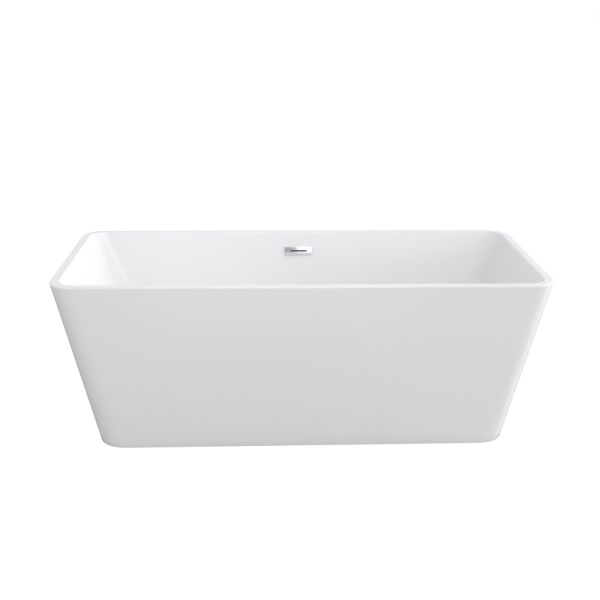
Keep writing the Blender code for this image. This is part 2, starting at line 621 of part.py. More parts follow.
def make_outlet():
    """The outlet's flanged barrel with its spider, clamped through the floor."""
    bore = OUTLET_BORE
    profile = [(bore, DISC_TOP - 0.001), (bore, BARREL_BOTTOM), (BARREL_RADIUS, BARREL_BOTTOM),
               (BARREL_RADIUS, DISC_BOTTOM), (OUTLET_DISC_RADIUS, DISC_BOTTOM),
               (OUTLET_DISC_RADIUS - 0.001, DISC_TOP), (bore + 0.001, DISC_TOP)]
    flange = turned("drain_flange", profile, CHROME, ring=True, sides=32)
    bar_bottom = BARREL_BOTTOM + HUB_ABOVE_BARREL_END
    reach = (bore + BARREL_RADIUS) / 2
    hub = rod("spider_hub", HUB_RADIUS, (0, 0, bar_bottom), (0, 0, bar_bottom + HUB_HEIGHT), sides=16)
    boolean(flange, hub, "UNION")
    half = SPIDER_BAR / 2
    for axis_name, half_x, half_y in (("x", reach, half), ("y", half, reach)):
        bar = block(f"spider_bar_{axis_name}", (-half_x, -half_y, bar_bottom + GAP),
                    (half_x, half_y, bar_bottom + SPIDER_HEIGHT), None)
        boolean(flange, bar, "UNION")
    drill(flange, STEM_RADIUS + GAP, (0, 0, bar_bottom - 0.01), (0, 0, bar_bottom + 2 * HUB_HEIGHT))

    inner = BARREL_RADIUS + GAP
    washer("drain_gasket", inner, CLAMP_RADIUS, GASKET_TOP - GASKET_THICKNESS, GASKET_TOP, RUBBER)
    washer("drain_washer", inner, CLAMP_RADIUS, WASHER_TOP - WASHER_THICKNESS, WASHER_TOP, BLACK_PLASTIC)
    locknut = loft("drain_locknut", [hexagon(LOCKNUT_ACROSS, LOCKNUT_TOP - LOCKNUT_HEIGHT),
                                     hexagon(LOCKNUT_ACROSS, LOCKNUT_TOP)], BLACK_PLASTIC)
    drill(locknut, inner, (0, 0, LOCKNUT_TOP - 2 * LOCKNUT_HEIGHT), (0, 0, LOCKNUT_TOP + 0.01), sides=24)


def make_stopper():
    """The pop-up stopper, closed: cap, seal and stem, on one upright axis."""
    axis = empty("stopper_axis", (0, 0, DISC_TOP))
    cap_bottom = SEAL_THICKNESS + 2 * GAP
    cap_top = cap_bottom + STOPPER_THICKNESS
    cap = [(0, cap_bottom), (STOPPER_RADIUS - 0.001, cap_bottom), (STOPPER_RADIUS, cap_bottom + 0.001),
           (STOPPER_RADIUS - 0.0005, cap_bottom + 0.003), (0.8 * STOPPER_RADIUS, cap_top - 0.0015),
           (0.5 * STOPPER_RADIUS, cap_top - 0.0004), (0, cap_top)]
    turned("stopper_cap", cap, CHROME, sides=32, parent=axis)
    seal_outer = SEAL_INNER_RADIUS + SEAL_WIDTH
    seal_top = GAP + SEAL_THICKNESS
    turned("stopper_seal", [(seal_outer, GAP), (seal_outer, seal_top), (SEAL_INNER_RADIUS, seal_top),
                            (SEAL_INNER_RADIUS, GAP)], RUBBER, ring=True, parent=axis)
    hub_bottom = BARREL_BOTTOM + HUB_ABOVE_BARREL_END - DISC_TOP
    collar_top = hub_bottom - STOPPER_TRAVEL - GAP
    stem_bottom = collar_top - COLLAR_HEIGHT
    stem = [(0, stem_bottom), (COLLAR_RADIUS, stem_bottom), (COLLAR_RADIUS, collar_top),
            (STEM_RADIUS, collar_top), (STEM_RADIUS, cap_bottom - GAP), (0, cap_bottom - GAP)]
    turned("stopper_stem", stem, ZINC, sides=16, parent=axis)


def make_pipe_nut(name, parent=None):
    """A nut round the overflow pipe."""
    profile = [(PIPE_NUT_RADIUS, 0), (PIPE_NUT_RADIUS, PIPE_NUT_LENGTH),
               (PIPE_RADIUS + GAP, PIPE_NUT_LENGTH), (PIPE_RADIUS + GAP, 0)]
    return turned(name, profile, BLACK_PLASTIC, ring=True, sides=16, parent=parent)


def make_tee():
    """The tee under the outlet, the tail pipe and their nut."""
    top, bottom = TEE_TOP, INLET_LEVEL - TEE_BELOW_INLET
    shoulder = BARREL_BOTTOM - GAP
    tail_bore = TAIL_RADIUS + GAP
    profile = [(TEE_RADIUS, top), (TEE_RADIUS, bottom), (tail_bore, bottom), (tail_bore, bottom + TEE_SOCKET),
               (OUTLET_BORE, bottom + TEE_SOCKET), (OUTLET_BORE, shoulder), (BARREL_RADIUS + GAP, shoulder),
               (BARREL_RADIUS + GAP, top)]
    tee = turned("waste_tee", profile, GREY_PLASTIC, ring=True)
    boolean(tee, rod("tee_branch", BRANCH_RADIUS, (0, (OUTLET_BORE + TEE_RADIUS) / 2, INLET_LEVEL),
                     (0, BRANCH_END, INLET_LEVEL)), "UNION")
    boolean(tee, rod("tee_branch_bore", PIPE_RADIUS + GAP, (0, 0, INLET_LEVEL),
                     (0, BRANCH_END + 0.01, INLET_LEVEL)))
    tail_top = bottom + TEE_SOCKET - GAP
    washer("tail_pipe", TAIL_RADIUS - TAIL_WALL, TAIL_RADIUS, TAIL_END_HEIGHT, tail_top, GREY_PLASTIC)
    nut_top = bottom - GAP
    washer("tail_nut", TAIL_RADIUS + GAP, TAIL_NUT_RADIUS, nut_top - PIPE_NUT_LENGTH, nut_top, BLACK_PLASTIC)
    nut = make_pipe_nut("pipe_nut_bottom")
    nut.location = (0, BRANCH_END + GAP, INLET_LEVEL)
    nut.rotation_euler = (-pi / 2, 0, 0)


# ---- the overflow ------------------------------------------------------------------------

def plate(name, width, height, corner, bottom, top, finish, axis, opening=None):
    """A rounded plate across the overflow's axis, with an opening if one is given."""
    outer = [rounded(width / 2, height / 2, corner, z, steps=3) for z in (bottom, top)]
    if opening is None:
        return loft(name, outer, finish, parent=axis)
    inner = [rounded(opening[0] / 2, opening[1] / 2, opening[1] / 4, z, steps=3) for z in (top, bottom)]
    return loft(name, outer + inner, finish, looped=True, parent=axis)


def make_overflow():
    """The cover, the frame and body that clamp the wall, and their screws; +Z points into the tub."""
    axis = empty("overflow_axis", OVERFLOW_POINT, (pi / 2 - WALL_LEAN, 0, 0))
    opening = (OPENING_WIDTH, OPENING_HEIGHT)
    basin = bpy.data.objects["basin"]
    boolean(basin, plate("wall_opening", *opening, OPENING_HEIGHT / 4, -3 * BASIN_WALL, 3 * BASIN_WALL,
                         None, axis))

    cover_rings = [rounded(COVER_WIDTH / 2, COVER_HEIGHT / 2, COVER_CORNER, z, steps=3)
                   for z in (GAP, COVER_DEPTH - COVER_EDGE)]
    cover_rings.append(rounded(COVER_WIDTH / 2 - COVER_EDGE, COVER_HEIGHT / 2 - COVER_EDGE, COVER_CORNER,
                               COVER_DEPTH, steps=3))
    cover = loft("overflow_plate", cover_rings, CHROME, parent=axis)
    inside_width, inside_height = COVER_WIDTH - 2 * COVER_SKIN, COVER_HEIGHT - 2 * COVER_SKIN
    boolean(cover, plate("cover_hollow", inside_width, inside_height, COVER_CORNER, -0.01,
                         COVER_DEPTH - COVER_SKIN, None, axis))
    slot = plate("cover_slot", SLOT_WIDTH, SLOT_HEIGHT, 0.45 * SLOT_HEIGHT, COVER_DEPTH - 2 * COVER_SKIN,
                 2 * COVER_DEPTH, None, axis)
    boolean(cover, slot)

    frame_top = GAP + OVERFLOW_FRAME_THICKNESS
    frame = plate("overflow_frame", inside_width - 2 * OVERFLOW_FRAME_MARGIN,
                  inside_height - 2 * OVERFLOW_FRAME_MARGIN, COVER_CORNER, GAP, frame_top, GREY_PLASTIC, axis,
                  opening)
    gasket_top = -BASIN_WALL - GAP
    gasket = plate("overflow_gasket", BODY_FLANGE_WIDTH, BODY_FLANGE_HEIGHT, COVER_CORNER,
                   gasket_top - GASKET_THICKNESS, gasket_top, RUBBER, axis, opening)
    body = make_overflow_body(axis)
    for hand, sign in (("left", -1), ("right", 1)):
        x = sign * OVERFLOW_SCREW_X
        make_overflow_screw(f"overflow_screw_{hand}", x, frame_top + GAP, axis)
        for piece in (frame, basin, gasket, body):
            drill(piece, OVERFLOW_SCREW_RADIUS + GAP, (x, 0, -OVERFLOW_SCREW_LENGTH - 0.002),
                  (x, 0, COVER_DEPTH / 2), parent=axis, sides=12)
    make_overflow_pipe(axis)


def make_overflow_screw(name, x, seat, axis):
    """A pan-head screw along the overflow's axis."""
    radius = OVERFLOW_SCREW_RADIUS
    tip = seat - OVERFLOW_SCREW_LENGTH
    profile = [(0, seat + radius), (1.4 * radius, seat + radius), (2 * radius, seat + 0.5 * radius),
               (2 * radius, seat), (radius, seat), (radius, tip), (0, tip)]
    screw = turned(name, profile, ZINC, sides=12, parent=axis)
    screw.location = (x, 0, 0)


def make_overflow_body(axis):
    """The housing behind the wall: a flange, a box round the opening and a spigot down."""
    flange_back = BODY_FRONT - BODY_FLANGE_THICKNESS
    back = BODY_FRONT - BODY_DEPTH
    box_width, box_height = OPENING_WIDTH + 2 * BODY_WALL, OPENING_HEIGHT + 4 * BODY_WALL
    rings = [
        rounded(BODY_FLANGE_WIDTH / 2, BODY_FLANGE_HEIGHT / 2, COVER_CORNER, BODY_FRONT, steps=3),
        rounded(BODY_FLANGE_WIDTH / 2, BODY_FLANGE_HEIGHT / 2, COVER_CORNER, flange_back, steps=3),
        rounded(box_width / 2, box_height / 2, COVER_CORNER, flange_back, steps=3),
        rounded(box_width / 2, box_height / 2, COVER_CORNER, back, steps=3),
    ]
    body = loft("overflow_body", rings, GREY_PLASTIC, parent=axis)
    start, end = Vector((0, 0, PIPE_AXIS_DEPTH)), Vector((0, -SPIGOT_END, PIPE_AXIS_DEPTH))
    boolean(body, rod("body_spigot", SPIGOT_RADIUS, start, end, axis), "UNION")
    hollow = plate("body_hollow", OPENING_WIDTH, OPENING_HEIGHT + 2 * BODY_WALL, COVER_CORNER,
                   back + BODY_WALL, BODY_FRONT + 0.01, None, axis)
    boolean(body, hollow)
    boolean(body, rod("body_bore", PIPE_RADIUS + GAP, start, end - Vector((0, 0.01, 0)), axis))
    return body


def make_overflow_pipe(axis):
    """The pipe down behind the wall and under the floor to the tee, with its top nut."""
    nut = make_pipe_nut("pipe_nut_top", axis)
    nut.location = (0, -SPIGOT_END - GAP, PIPE_AXIS_DEPTH)
    nut.rotation_euler = (pi / 2, 0, 0)

    down = Vector((0, -sin(WALL_LEAN), -cos(WALL_LEAN)))
    inward = Vector((0, -cos(WALL_LEAN), sin(WALL_LEAN)))
    forward = Vector((0, -1, 0))
    start = OVERFLOW_POINT + inward * PIPE_AXIS_DEPTH + down * PIPE_START
    corner = start + down * ((start.z - INLET_LEVEL) / cos(WALL_LEAN))
    turn = acos(down.dot(forward))
    tangent = PIPE_BEND_RADIUS * tan(turn / 2)
    bend_start = corner - down * tangent
    to_centre = Vector((0, -down.z, down.y)) * -1
    centre = bend_start + to_centre * PIPE_BEND_RADIUS
    bend_steps = 8
    path = [start]
    for step in range(bend_steps + 1):
        angle = turn * step / bend_steps
        path.append(centre + PIPE_BEND_RADIUS * (-to_centre * cos(angle) + down * sin(angle)))
    path.append(Vector((0, PIPE_START_IN_TEE, INLET_LEVEL)))
    loft("overflow_pipe", tube_rings(path, PIPE_RADIUS) + tube_rings(path, PIPE_RADIUS - PIPE_WALL)[::-1],
         GREY_PLASTIC, looped=True)


def tube_rings(path, radius, sides=16):
    """Rings round a path that lies in the plane X = 0."""
    across = Vector((1, 0, 0))
    rings = []
    for index, point in enumerate(path):
        before, after = path[max(index - 1, 0)], path[min(index + 1, len(path) - 1)]
        along = (after - before).normalized()
        up = across.cross(along)
        rings.append([point + radius * (across * cos(2 * pi * k / sides) + up * sin(2 * pi * k / sides))
                      for k in range(sides)])
    return rings


make_basin()
make_skirt()
make_frame()
make_brackets()
make_feet()
make_outlet()
make_stopper()
make_tee()
make_overflow()
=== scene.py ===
# %% [markdown]
# # A freestanding bathtub, from its frame to its finish
#
# The tub is two thin acrylic skins. The inner one holds the water and ends in a flat rim, and the
# outer one hides a steel frame, five levelling feet and the waste. The sizes are settled in the
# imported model, which loads here as a fixed frame, so everything below only adds finer surfaces
# and materials in the places that the frame gives.

# %% Load the frame
from math import acos, atan, cos, hypot, pi, radians, sin, sqrt, tan

import bmesh
import bpy
from mathutils import Matrix, Vector


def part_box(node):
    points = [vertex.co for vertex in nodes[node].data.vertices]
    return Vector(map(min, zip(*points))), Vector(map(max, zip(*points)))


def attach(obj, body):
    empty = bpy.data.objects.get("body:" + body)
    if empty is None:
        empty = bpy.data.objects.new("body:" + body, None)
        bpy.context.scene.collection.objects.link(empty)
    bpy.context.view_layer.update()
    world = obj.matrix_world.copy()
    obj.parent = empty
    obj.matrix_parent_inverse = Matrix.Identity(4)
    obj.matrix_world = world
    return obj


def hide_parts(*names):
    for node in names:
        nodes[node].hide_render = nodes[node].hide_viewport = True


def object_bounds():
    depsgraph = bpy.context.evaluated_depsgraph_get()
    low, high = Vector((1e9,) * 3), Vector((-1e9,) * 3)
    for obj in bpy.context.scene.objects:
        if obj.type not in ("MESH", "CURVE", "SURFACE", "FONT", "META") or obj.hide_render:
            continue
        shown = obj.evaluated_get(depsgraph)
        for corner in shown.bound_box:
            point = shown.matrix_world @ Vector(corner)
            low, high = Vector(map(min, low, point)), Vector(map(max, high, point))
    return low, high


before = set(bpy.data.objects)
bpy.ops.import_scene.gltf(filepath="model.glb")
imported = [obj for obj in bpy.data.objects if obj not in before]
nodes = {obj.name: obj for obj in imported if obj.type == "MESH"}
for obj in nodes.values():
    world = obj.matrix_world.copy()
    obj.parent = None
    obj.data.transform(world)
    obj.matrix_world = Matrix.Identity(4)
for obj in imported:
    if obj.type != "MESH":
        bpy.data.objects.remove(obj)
cad_low, cad_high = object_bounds()
print(f"frame box: {tuple(round(v, 4) for v in cad_low)} to {tuple(round(v, 4) for v in cad_high)}")

# %% [markdown]
# ## The camera
#
# A long tub seen almost straight on looks flat unless the lens is close enough for its ends to
# open. A short telephoto from under four metres, a little above the rim, shows the inside of the
# back wall over the front rim. The lens is shifted instead of tilted further, which keeps the
# upright edges calm.

# %% Place the camera
CAMERA_YAW = radians(-3.38)
CAMERA_ELEVATION = radians(14.70)
CAMERA_ROLL = radians(0.685)
CAMERA_DISTANCE = 3.774
AIM_RIGHT = 0.072              # the aim, from the middle of the tub, across and up the view
AIM_UP = 0.308
LENS_MM = 60.45
LENS_SHIFT = (-0.03545, -0.08202)

tub_middle = Vector((0, 0, 0.3))
back = Vector((sin(CAMERA_YAW) * cos(CAMERA_ELEVATION), -cos(CAMERA_YAW) * cos(CAMERA_ELEVATION),
               sin(CAMERA_ELEVATION)))
right = Vector((cos(CAMERA_YAW), sin(CAMERA_YAW), 0))
up = back.cross(right)
aim = tub_middle + right * AIM_RIGHT + up * AIM_UP
rolled_right = right * cos(CAMERA_ROLL) + up * sin(CAMERA_ROLL)
rolled_up = up * cos(CAMERA_ROLL) - right * sin(CAMERA_ROLL)

camera_data = bpy.data.cameras.new("studio_camera")
camera_data.lens = LENS_MM
camera_data.sensor_width = 36
camera_data.shift_x, camera_data.shift_y = LENS_SHIFT
camera = bpy.data.objects.new("studio_camera", camera_data)
bpy.context.scene.collection.objects.link(camera)
turn = Matrix((rolled_right, rolled_up, back)).transposed().to_4x4()
camera.matrix_world = Matrix.Translation(aim + back * CAMERA_DISTANCE) @ turn
bpy.context.scene.camera = camera
print("camera at", tuple(round(v, 3) for v in camera.location))

# %% [markdown]
# ## Small helpers
#
# Nearly every piece here is either turned on a lathe or skinned over a row of outlines. Both can
# be written once: a lathe is a profile spun about an axis, and a skin joins each outline to the
# next. Building the faces in order, by hand, keeps the mesh clean and its edges where the
# reflections need them.

# %% Helpers for skins, turned pieces and sharp edges
def add_mesh(name, bm, materials, smooth_angle=40):
    """Make an object from a bmesh, smooth except across its hard edges."""
    bmesh.ops.recalc_face_normals(bm, faces=bm.faces)
    mesh = bpy.data.meshes.new(name)
    bm.to_mesh(mesh)
    bm.free()
    for item in materials:
        mesh.materials.append(item)
    mesh.shade_smooth()
    mesh.set_sharp_from_angle(angle=radians(smooth_angle))
    piece = bpy.data.objects.new(name, mesh)
    bpy.context.scene.collection.objects.link(piece)
    return piece


def skin(name, rings, materials, looped=False, paint=None, smooth_angle=40, at=None):
    """Join a row of equal outlines; paint(i) gives the material number of the band after ring i."""
    if at is not None:
        rings = [[at @ Vector(point) for point in ring] for ring in rings]
    bm = bmesh.new()
    loops = [[bm.verts.new(point) for point in ring] for ring in rings]
    bands = list(zip(loops, loops[1:]))
    if looped:
        bands.append((loops[-1], loops[0]))
    count = len(rings[0])
    for index, (low, high) in enumerate(bands):
        for i in range(count):
            j = (i + 1) % count
            face = bm.faces.new((low[i], low[j], high[j], high[i]))
            face.material_index = paint(index) if paint else 0
    if not looped:
        for loop, index in ((loops[0], 0), (loops[-1], len(bands) - 1)):
            face = bm.faces.new(loop)
            face.material_index = paint(index) if paint else 0
    return add_mesh(name, bm, materials, smooth_angle)


def turned(name, profile, material, closed=False, sides=64, smooth_angle=40, at=None):
    """Spin a profile of (radius, height) about Z, as on a lathe, and put it in its place."""
    bm = bmesh.new()
    verts = [bm.verts.new((radius, 0, height)) for radius, height in profile]
    edges = [bm.edges.new(pair) for pair in zip(verts, verts[1:])]
    if closed:
        edges.append(bm.edges.new((verts[-1], verts[0])))
    bmesh.ops.spin(bm, geom=verts + edges, cent=(0, 0, 0), axis=(0, 0, 1), angle=2 * pi, steps=sides)
    bmesh.ops.remove_doubles(bm, verts=bm.verts, dist=1e-6)
    if at is not None:
        bmesh.ops.transform(bm, matrix=at, verts=bm.verts)
    return add_mesh(name, bm, [material], smooth_angle)


def rod(name, radius, low, high, material, **where):
    """A plain round rod, mostly to bore a hole with."""
    return turned(name, [(0, low), (radius, low), (radius, high), (0, high)], material, **where)


def settle(piece, body, slot, *replaced):
    """Say which body carries a piece and which nodes it stands for; the slot argument is not used."""
    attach(piece, body)
    if replaced:
        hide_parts(*replaced)
    return piece


def cut(piece, other, operation="DIFFERENCE"):
    """Cut, join or intersect two meshes for good, and remove the second."""
    step = piece.modifiers.new("cut", "BOOLEAN")
    step.object = other
    step.operation = operation
    step.solver = "EXACT"
    graph = bpy.context.evaluated_depsgraph_get()
    cut_mesh = bpy.data.meshes.new_from_object(piece.evaluated_get(graph))
    piece.modifiers.clear()
    cut_mesh.set_sharp_from_angle(angle=radians(40))
    piece.data = cut_mesh
    bpy.data.objects.remove(other)
    return piece


def blend_values(low, high, share):
    """A value part of the way from one to another."""
    return low + (high - low) * share


# %% [markdown]
# ## Outlines with eased corners
#
# A thermoformed corner isn't a true quarter circle: the sheet starts to bend slowly, so a
# reflection slides round it without a break. Here the heading along the corner follows a smooth
# step instead of a straight line, and the curve is scaled to pass through the same middle point
# as the circle that the frame has.

# %% Eased corners
def eased_corner(steps):
    """A quarter turn of unit radius from (0, 0) heading +X to (reach, reach), eased at its ends."""
    fine = 40 * steps
    x = y = 0.0
    points = [(0.0, 0.0)]
    for i in range(fine):
        share = (i + 0.5) / fine
        heading = pi / 2 * blend_values(share, share * share * (3 - 2 * share), 0.6)
        x += cos(heading) / fine
        y += sin(heading) / fine
        if (i + 1) % 40 == 0:
            points.append((x, y))
    reach = points[-1][0]
    middle = points[steps // 2]
    depth = hypot(reach - middle[0], middle[1])
    scale = (sqrt(2) - 1) / depth
    return [(px * scale, py * scale) for px, py in points], reach * scale


CORNER_STEPS = 28
CORNER, CORNER_REACH = eased_corner(CORNER_STEPS)
LONG_STEPS = 36                # straight pieces along a long side, and along an end
SHORT_STEPS = 14


def outline(half_x, half_y, radius, z):
    """A rounded rectangle with eased corners, as one loop of points."""
    reach = radius * CORNER_REACH
    points = []
    for turns in range(4):
        along, across = (half_x, half_y) if turns % 2 == 0 else (half_y, half_x)
        steps = LONG_STEPS if turns % 2 == 0 else SHORT_STEPS
        side = []
        for i in range(steps):
            share = i / steps
            eased = blend_values(share, share * share * (3 - 2 * share), 0.85)
            side.append((blend_values(-(along - reach), along - reach, eased), -across))
        for px, py in CORNER[:-1]:
            side.append((along - reach + px * radius, -across + py * radius))
        for px, py in side:
            angle = turns * pi / 2
            points.append(Vector((px * cos(angle) - py * sin(angle), px * sin(angle) + py * cos(angle), z)))
    return points


print(f"eased corner reaches {CORNER_REACH:.3f} radii, outline has {len(outline(1, 0.5, 0.1, 0))} points")

# %% [markdown]
# ## Shared surface effects
#
# Real surfaces are never even. Four effects come back on several materials, so each is a node
# group with its own settings: a slow waviness for anything moulded, hand marks that change the
# gloss, a dusting that settles in patches, and the crystal pattern of hot-dip zinc. Each group
# gives only a value, a colour or a normal; the shader stays in the material.

# %% Node group helpers
def new_group(name, inputs, outputs):
    """A shader group with named float or colour inputs and outputs."""
    group = bpy.data.node_groups.new(name, "ShaderNodeTree")
    kinds = {"value": "NodeSocketFloat", "colour": "NodeSocketColor", "normal": "NodeSocketVector"}
    for label, kind, default in inputs:
        socket = group.interface.new_socket(label, in_out="INPUT", socket_type=kinds[kind])
        socket.default_value = default
    for label, kind in outputs:
        group.interface.new_socket(label, in_out="OUTPUT", socket_type=kinds[kind])
    start = group.nodes.new("NodeGroupInput")
    end = group.nodes.new("NodeGroupOutput")
    return group, start, end


def place(tree, kind, links=None, **settings):
    """Add a node, set its properties, and link or set its inputs by name or number."""
    node = tree.nodes.new(kind)
    for key, value in settings.items():
        setattr(node, key, value)
    for key, value in (links or {}).items():
        if isinstance(value, bpy.types.NodeSocket):
            tree.links.new(value, node.inputs[key])
        else:
            node.inputs[key].default_value = value
    return node


def on_piece(tree):
    """Coordinates that belong to the piece, so that its grain moves with it."""
    return place(tree, "ShaderNodeTexCoord").outputs["Object"]


def mix_colours(tree, share, first, second, **settings):
    """Blend two colours, each a socket or a plain colour, and give the socket of the result."""
    blend = place(tree, "ShaderNodeMix", {"Factor": share, 6: first, 7: second}, data_type="RGBA", **settings)
    return blend.outputs[2]


# %% Slow waviness
def build_waviness():
    """The faint orange peel and slow swell of a formed or moulded surface, as a normal."""
    group, start, end = new_group("waviness", [("Peel size", "value", 60.0), ("Peel height", "value", 0.1),
                                               ("Swell size", "value", 3.0), ("Swell height", "value", 0.3)],
                                  [("Normal", "normal")])
    where = on_piece(group)
    peel = place(group, "ShaderNodeTexNoise", {"Vector": where, "Scale": start.outputs["Peel size"],
                                               "Detail": 1.0})
    swell = place(group, "ShaderNodeTexNoise", {"Vector": where, "Scale": start.outputs["Swell size"],
                                                "Detail": 0.5})
    slow = place(group, "ShaderNodeBump", {"Height": swell.outputs["Fac"],
                                           "Strength": start.outputs["Swell height"], "Distance": 0.004})
    fine = place(group, "ShaderNodeBump", {"Height": peel.outputs["Fac"], "Normal": slow.outputs["Normal"],
                                           "Strength": start.outputs["Peel height"], "Distance": 0.0004})
    group.links.new(fine.outputs["Normal"], end.inputs["Normal"])
    return group


waviness = build_waviness()
print("group", waviness.name, "with", len(waviness.nodes), "nodes")

# %% Hand marks in the gloss
def build_gloss_marks():
    """Patches where wiping and touching have changed the roughness."""
    group, start, end = new_group("gloss_marks", [("Low", "value", 0.1), ("High", "value", 0.2),
                                                  ("Size", "value", 6.0)], [("Roughness", "value")])
    where = on_piece(group)
    patches = place(group, "ShaderNodeTexNoise", {"Vector": where, "Scale": start.outputs["Size"],
                                                  "Detail": 4.0, "Roughness": 0.6})
    spread = place(group, "ShaderNodeMapRange", {"Value": patches.outputs["Fac"], "From Min": 0.3,
                                                 "From Max": 0.7, "To Min": start.outputs["Low"],
                                                 "To Max": start.outputs["High"]})
    group.links.new(spread.outputs["Result"], end.inputs["Roughness"])
    return group


gloss_marks = build_gloss_marks()
print("group", gloss_marks.name, "with", len(gloss_marks.nodes), "nodes")

# %% Dusting
def build_dusting():
    """Workshop dust in soft patches, as a colour."""
    group, start, end = new_group("dusting", [("Clean", "colour", (0.5, 0.5, 0.5, 1)),
                                              ("Dust", "colour", (0.6, 0.57, 0.5, 1)),
                                              ("Amount", "value", 0.2), ("Size", "value", 9.0)],
                                  [("Colour", "colour")])
    where = on_piece(group)
    patches = place(group, "ShaderNodeTexNoise", {"Vector": where, "Scale": start.outputs["Size"],
                                                  "Detail": 5.0, "Roughness": 0.65})
    share = place(group, "ShaderNodeMapRange", {"Value": patches.outputs["Fac"], "From Min": 0.4,
                                                "From Max": 0.75, "To Min": 0.0,
                                                "To Max": start.outputs["Amount"]})
    mixed = mix_colours(group, share.outputs["Result"], start.outputs["Clean"], start.outputs["Dust"])
    group.links.new(mixed, end.inputs["Colour"])
    return group


dusting = build_dusting()
print("group", dusting.name, "with", len(dusting.nodes), "nodes")

# %% Zinc crystals
def build_zinc_spangle():
    """The flat crystals of zinc plating: one tone and one gloss for each cell."""
    group, start, end = new_group("zinc_spangle", [("Light", "colour", (0.66, 0.68, 0.70, 1)),
                                                   ("Dark", "colour", (0.42, 0.45, 0.48, 1)),
                                                   ("Size", "value", 90.0)],
                                  [("Colour", "colour"), ("Roughness", "value")])
    where = on_piece(group)
    cells = place(group, "ShaderNodeTexVoronoi", {"Vector": where, "Scale": start.outputs["Size"]})
    tone = place(group, "ShaderNodeSeparateColor", {"Color": cells.outputs["Color"]})
    mixed = mix_colours(group, tone.outputs["Red"], start.outputs["Dark"], start.outputs["Light"])
    gloss = place(group, "ShaderNodeMapRange", {"Value": tone.outputs["Green"], "To Min": 0.30,
                                                "To Max": 0.48})
    group.links.new(mixed, end.inputs["Colour"])
    group.links.new(gloss.outputs["Result"], end.inputs["Roughness"])
    return group


zinc_spangle = build_zinc_spangle()
print("group", zinc_spangle.name, "with", len(zinc_spangle.nodes), "nodes")

# %% [markdown]
# ## The finishes
#
# Acrylic is a clear gloss over a white body, so it has a plain bright colour, a low roughness and
# a faint swell that only its reflections show. Its hidden back is sprayed with resin and chopped
# glass. The metals and plastics inside differ mostly in gloss and grain. Every number that is the
# same all over a surface is set on the shader itself.

# %% Helper for one finish
def finish(name, metallic=0.0, roughness=0.4, colour=(0.8, 0.8, 0.8), **shader_values):
    """A material with its shader's even values set, and the tree for the rest."""
    made = bpy.data.materials.new(name)
    made.use_nodes = True
    shader = made.node_tree.nodes["Principled BSDF"]
    shader.inputs["Base Color"].default_value = (*colour, 1)
    shader.inputs["Metallic"].default_value = metallic
    shader.inputs["Roughness"].default_value = roughness
    for label, value in shader_values.items():
        shader.inputs[label.replace("_", " ")].default_value = value
    return made, made.node_tree, shader


def use_group(tree, group, **values):
    """Place a shared group in a material with values of its own."""
    node = tree.nodes.new("ShaderNodeGroup")
    node.node_tree = group
    for label, value in values.items():
        node.inputs[label.replace("_", " ")].default_value = value
    return node


def wavy(tree, shader, **values):
    """Give a shader the slow waviness."""
    node = use_group(tree, waviness, **values)
    tree.links.new(node.outputs["Normal"], shader.inputs["Normal"])


def marked(tree, shader, low, high, size):
    """Give a shader patches of gloss."""
    node = use_group(tree, gloss_marks, Low=low, High=high, Size=size)
    tree.links.new(node.outputs["Roughness"], shader.inputs["Roughness"])


def dusted(tree, shader, clean, amount, size=9.0):
    """Give a shader patches of dust over its own colour."""
    node = use_group(tree, dusting, Clean=(*clean, 1), Amount=amount, Size=size)
    tree.links.new(node.outputs["Colour"], shader.inputs["Base Color"])


# %% White acrylic
def make_white_acrylic():
    """Glossy white sheet, very slightly wavy, a trace warmer in slow random patches."""
    made, tree, shader = finish("white_acrylic", roughness=0.12, colour=(0.86, 0.86, 0.86), IOR=1.49)
    drift = place(tree, "ShaderNodeTexNoise", {"Vector": on_piece(tree), "Scale": 1.7, "Detail": 2.0})
    tone = mix_colours(tree, drift.outputs["Fac"], (0.872, 0.874, 0.882, 1), (0.892, 0.892, 0.895, 1))
    tree.links.new(tone, shader.inputs["Base Color"])
    marked(tree, shader, 0.09, 0.15, 5.0)
    wavy(tree, shader, Peel_size=130.0, Peel_height=0.05, Swell_size=2.2, Swell_height=0.06)
    return made


white_acrylic = make_white_acrylic()

# %% Resin and chopped glass on the back of the acrylic
def make_glass_mat():
    """Short fibres pressed in all directions into a pale resin."""
    made, tree, shader = finish("resin_and_glass", roughness=0.45, colour=(0.72, 0.72, 0.66))
    where = on_piece(tree)
    layers = []
    for angle in (0.3, 1.4, 2.5):
        turned_by = place(tree, "ShaderNodeMapping", {"Vector": where, "Scale": (260, 22, 22),
                                                      "Rotation": (angle, 0.5 * angle, angle)})
        fibres = place(tree, "ShaderNodeTexNoise", {"Vector": turned_by.outputs["Vector"], "Scale": 1.0,
                                                    "Detail": 1.0})
        layers.append(fibres.outputs["Fac"])
    both = place(tree, "ShaderNodeMath", {0: layers[0], 1: layers[1]}, operation="MAXIMUM")
    strands = place(tree, "ShaderNodeMath", {0: both.outputs[0], 1: layers[2]}, operation="MAXIMUM")
    clear = place(tree, "ShaderNodeMapRange", {"Value": strands.outputs[0], "From Min": 0.45,
                                               "From Max": 0.75})
    tone = mix_colours(tree, clear.outputs["Result"], (0.60, 0.60, 0.53, 1), (0.80, 0.80, 0.76, 1))
    tree.links.new(tone, shader.inputs["Base Color"])
    relief = place(tree, "ShaderNodeBump", {"Height": clear.outputs["Result"], "Strength": 0.6,
                                            "Distance": 0.0008})
    tree.links.new(relief.outputs["Normal"], shader.inputs["Normal"])
    return made


resin_and_glass = make_glass_mat()
print("skins' finishes:", white_acrylic.name, "and", resin_and_glass.name)

# %% [markdown]
# ## Metals, plastics, rubber and wood
#
# The frame under the tub is ordinary workshop stuff. Dipped steel shows its zinc crystals, screws
# are plated bright with a trace of yellow, and only the outlet and the overflow cover are chromed.
# Moulded plastics and rubber get a fine peel in their normal and patches of gloss, and the board
# is birch plywood, which shows its face grain on top and its plies along the edge.

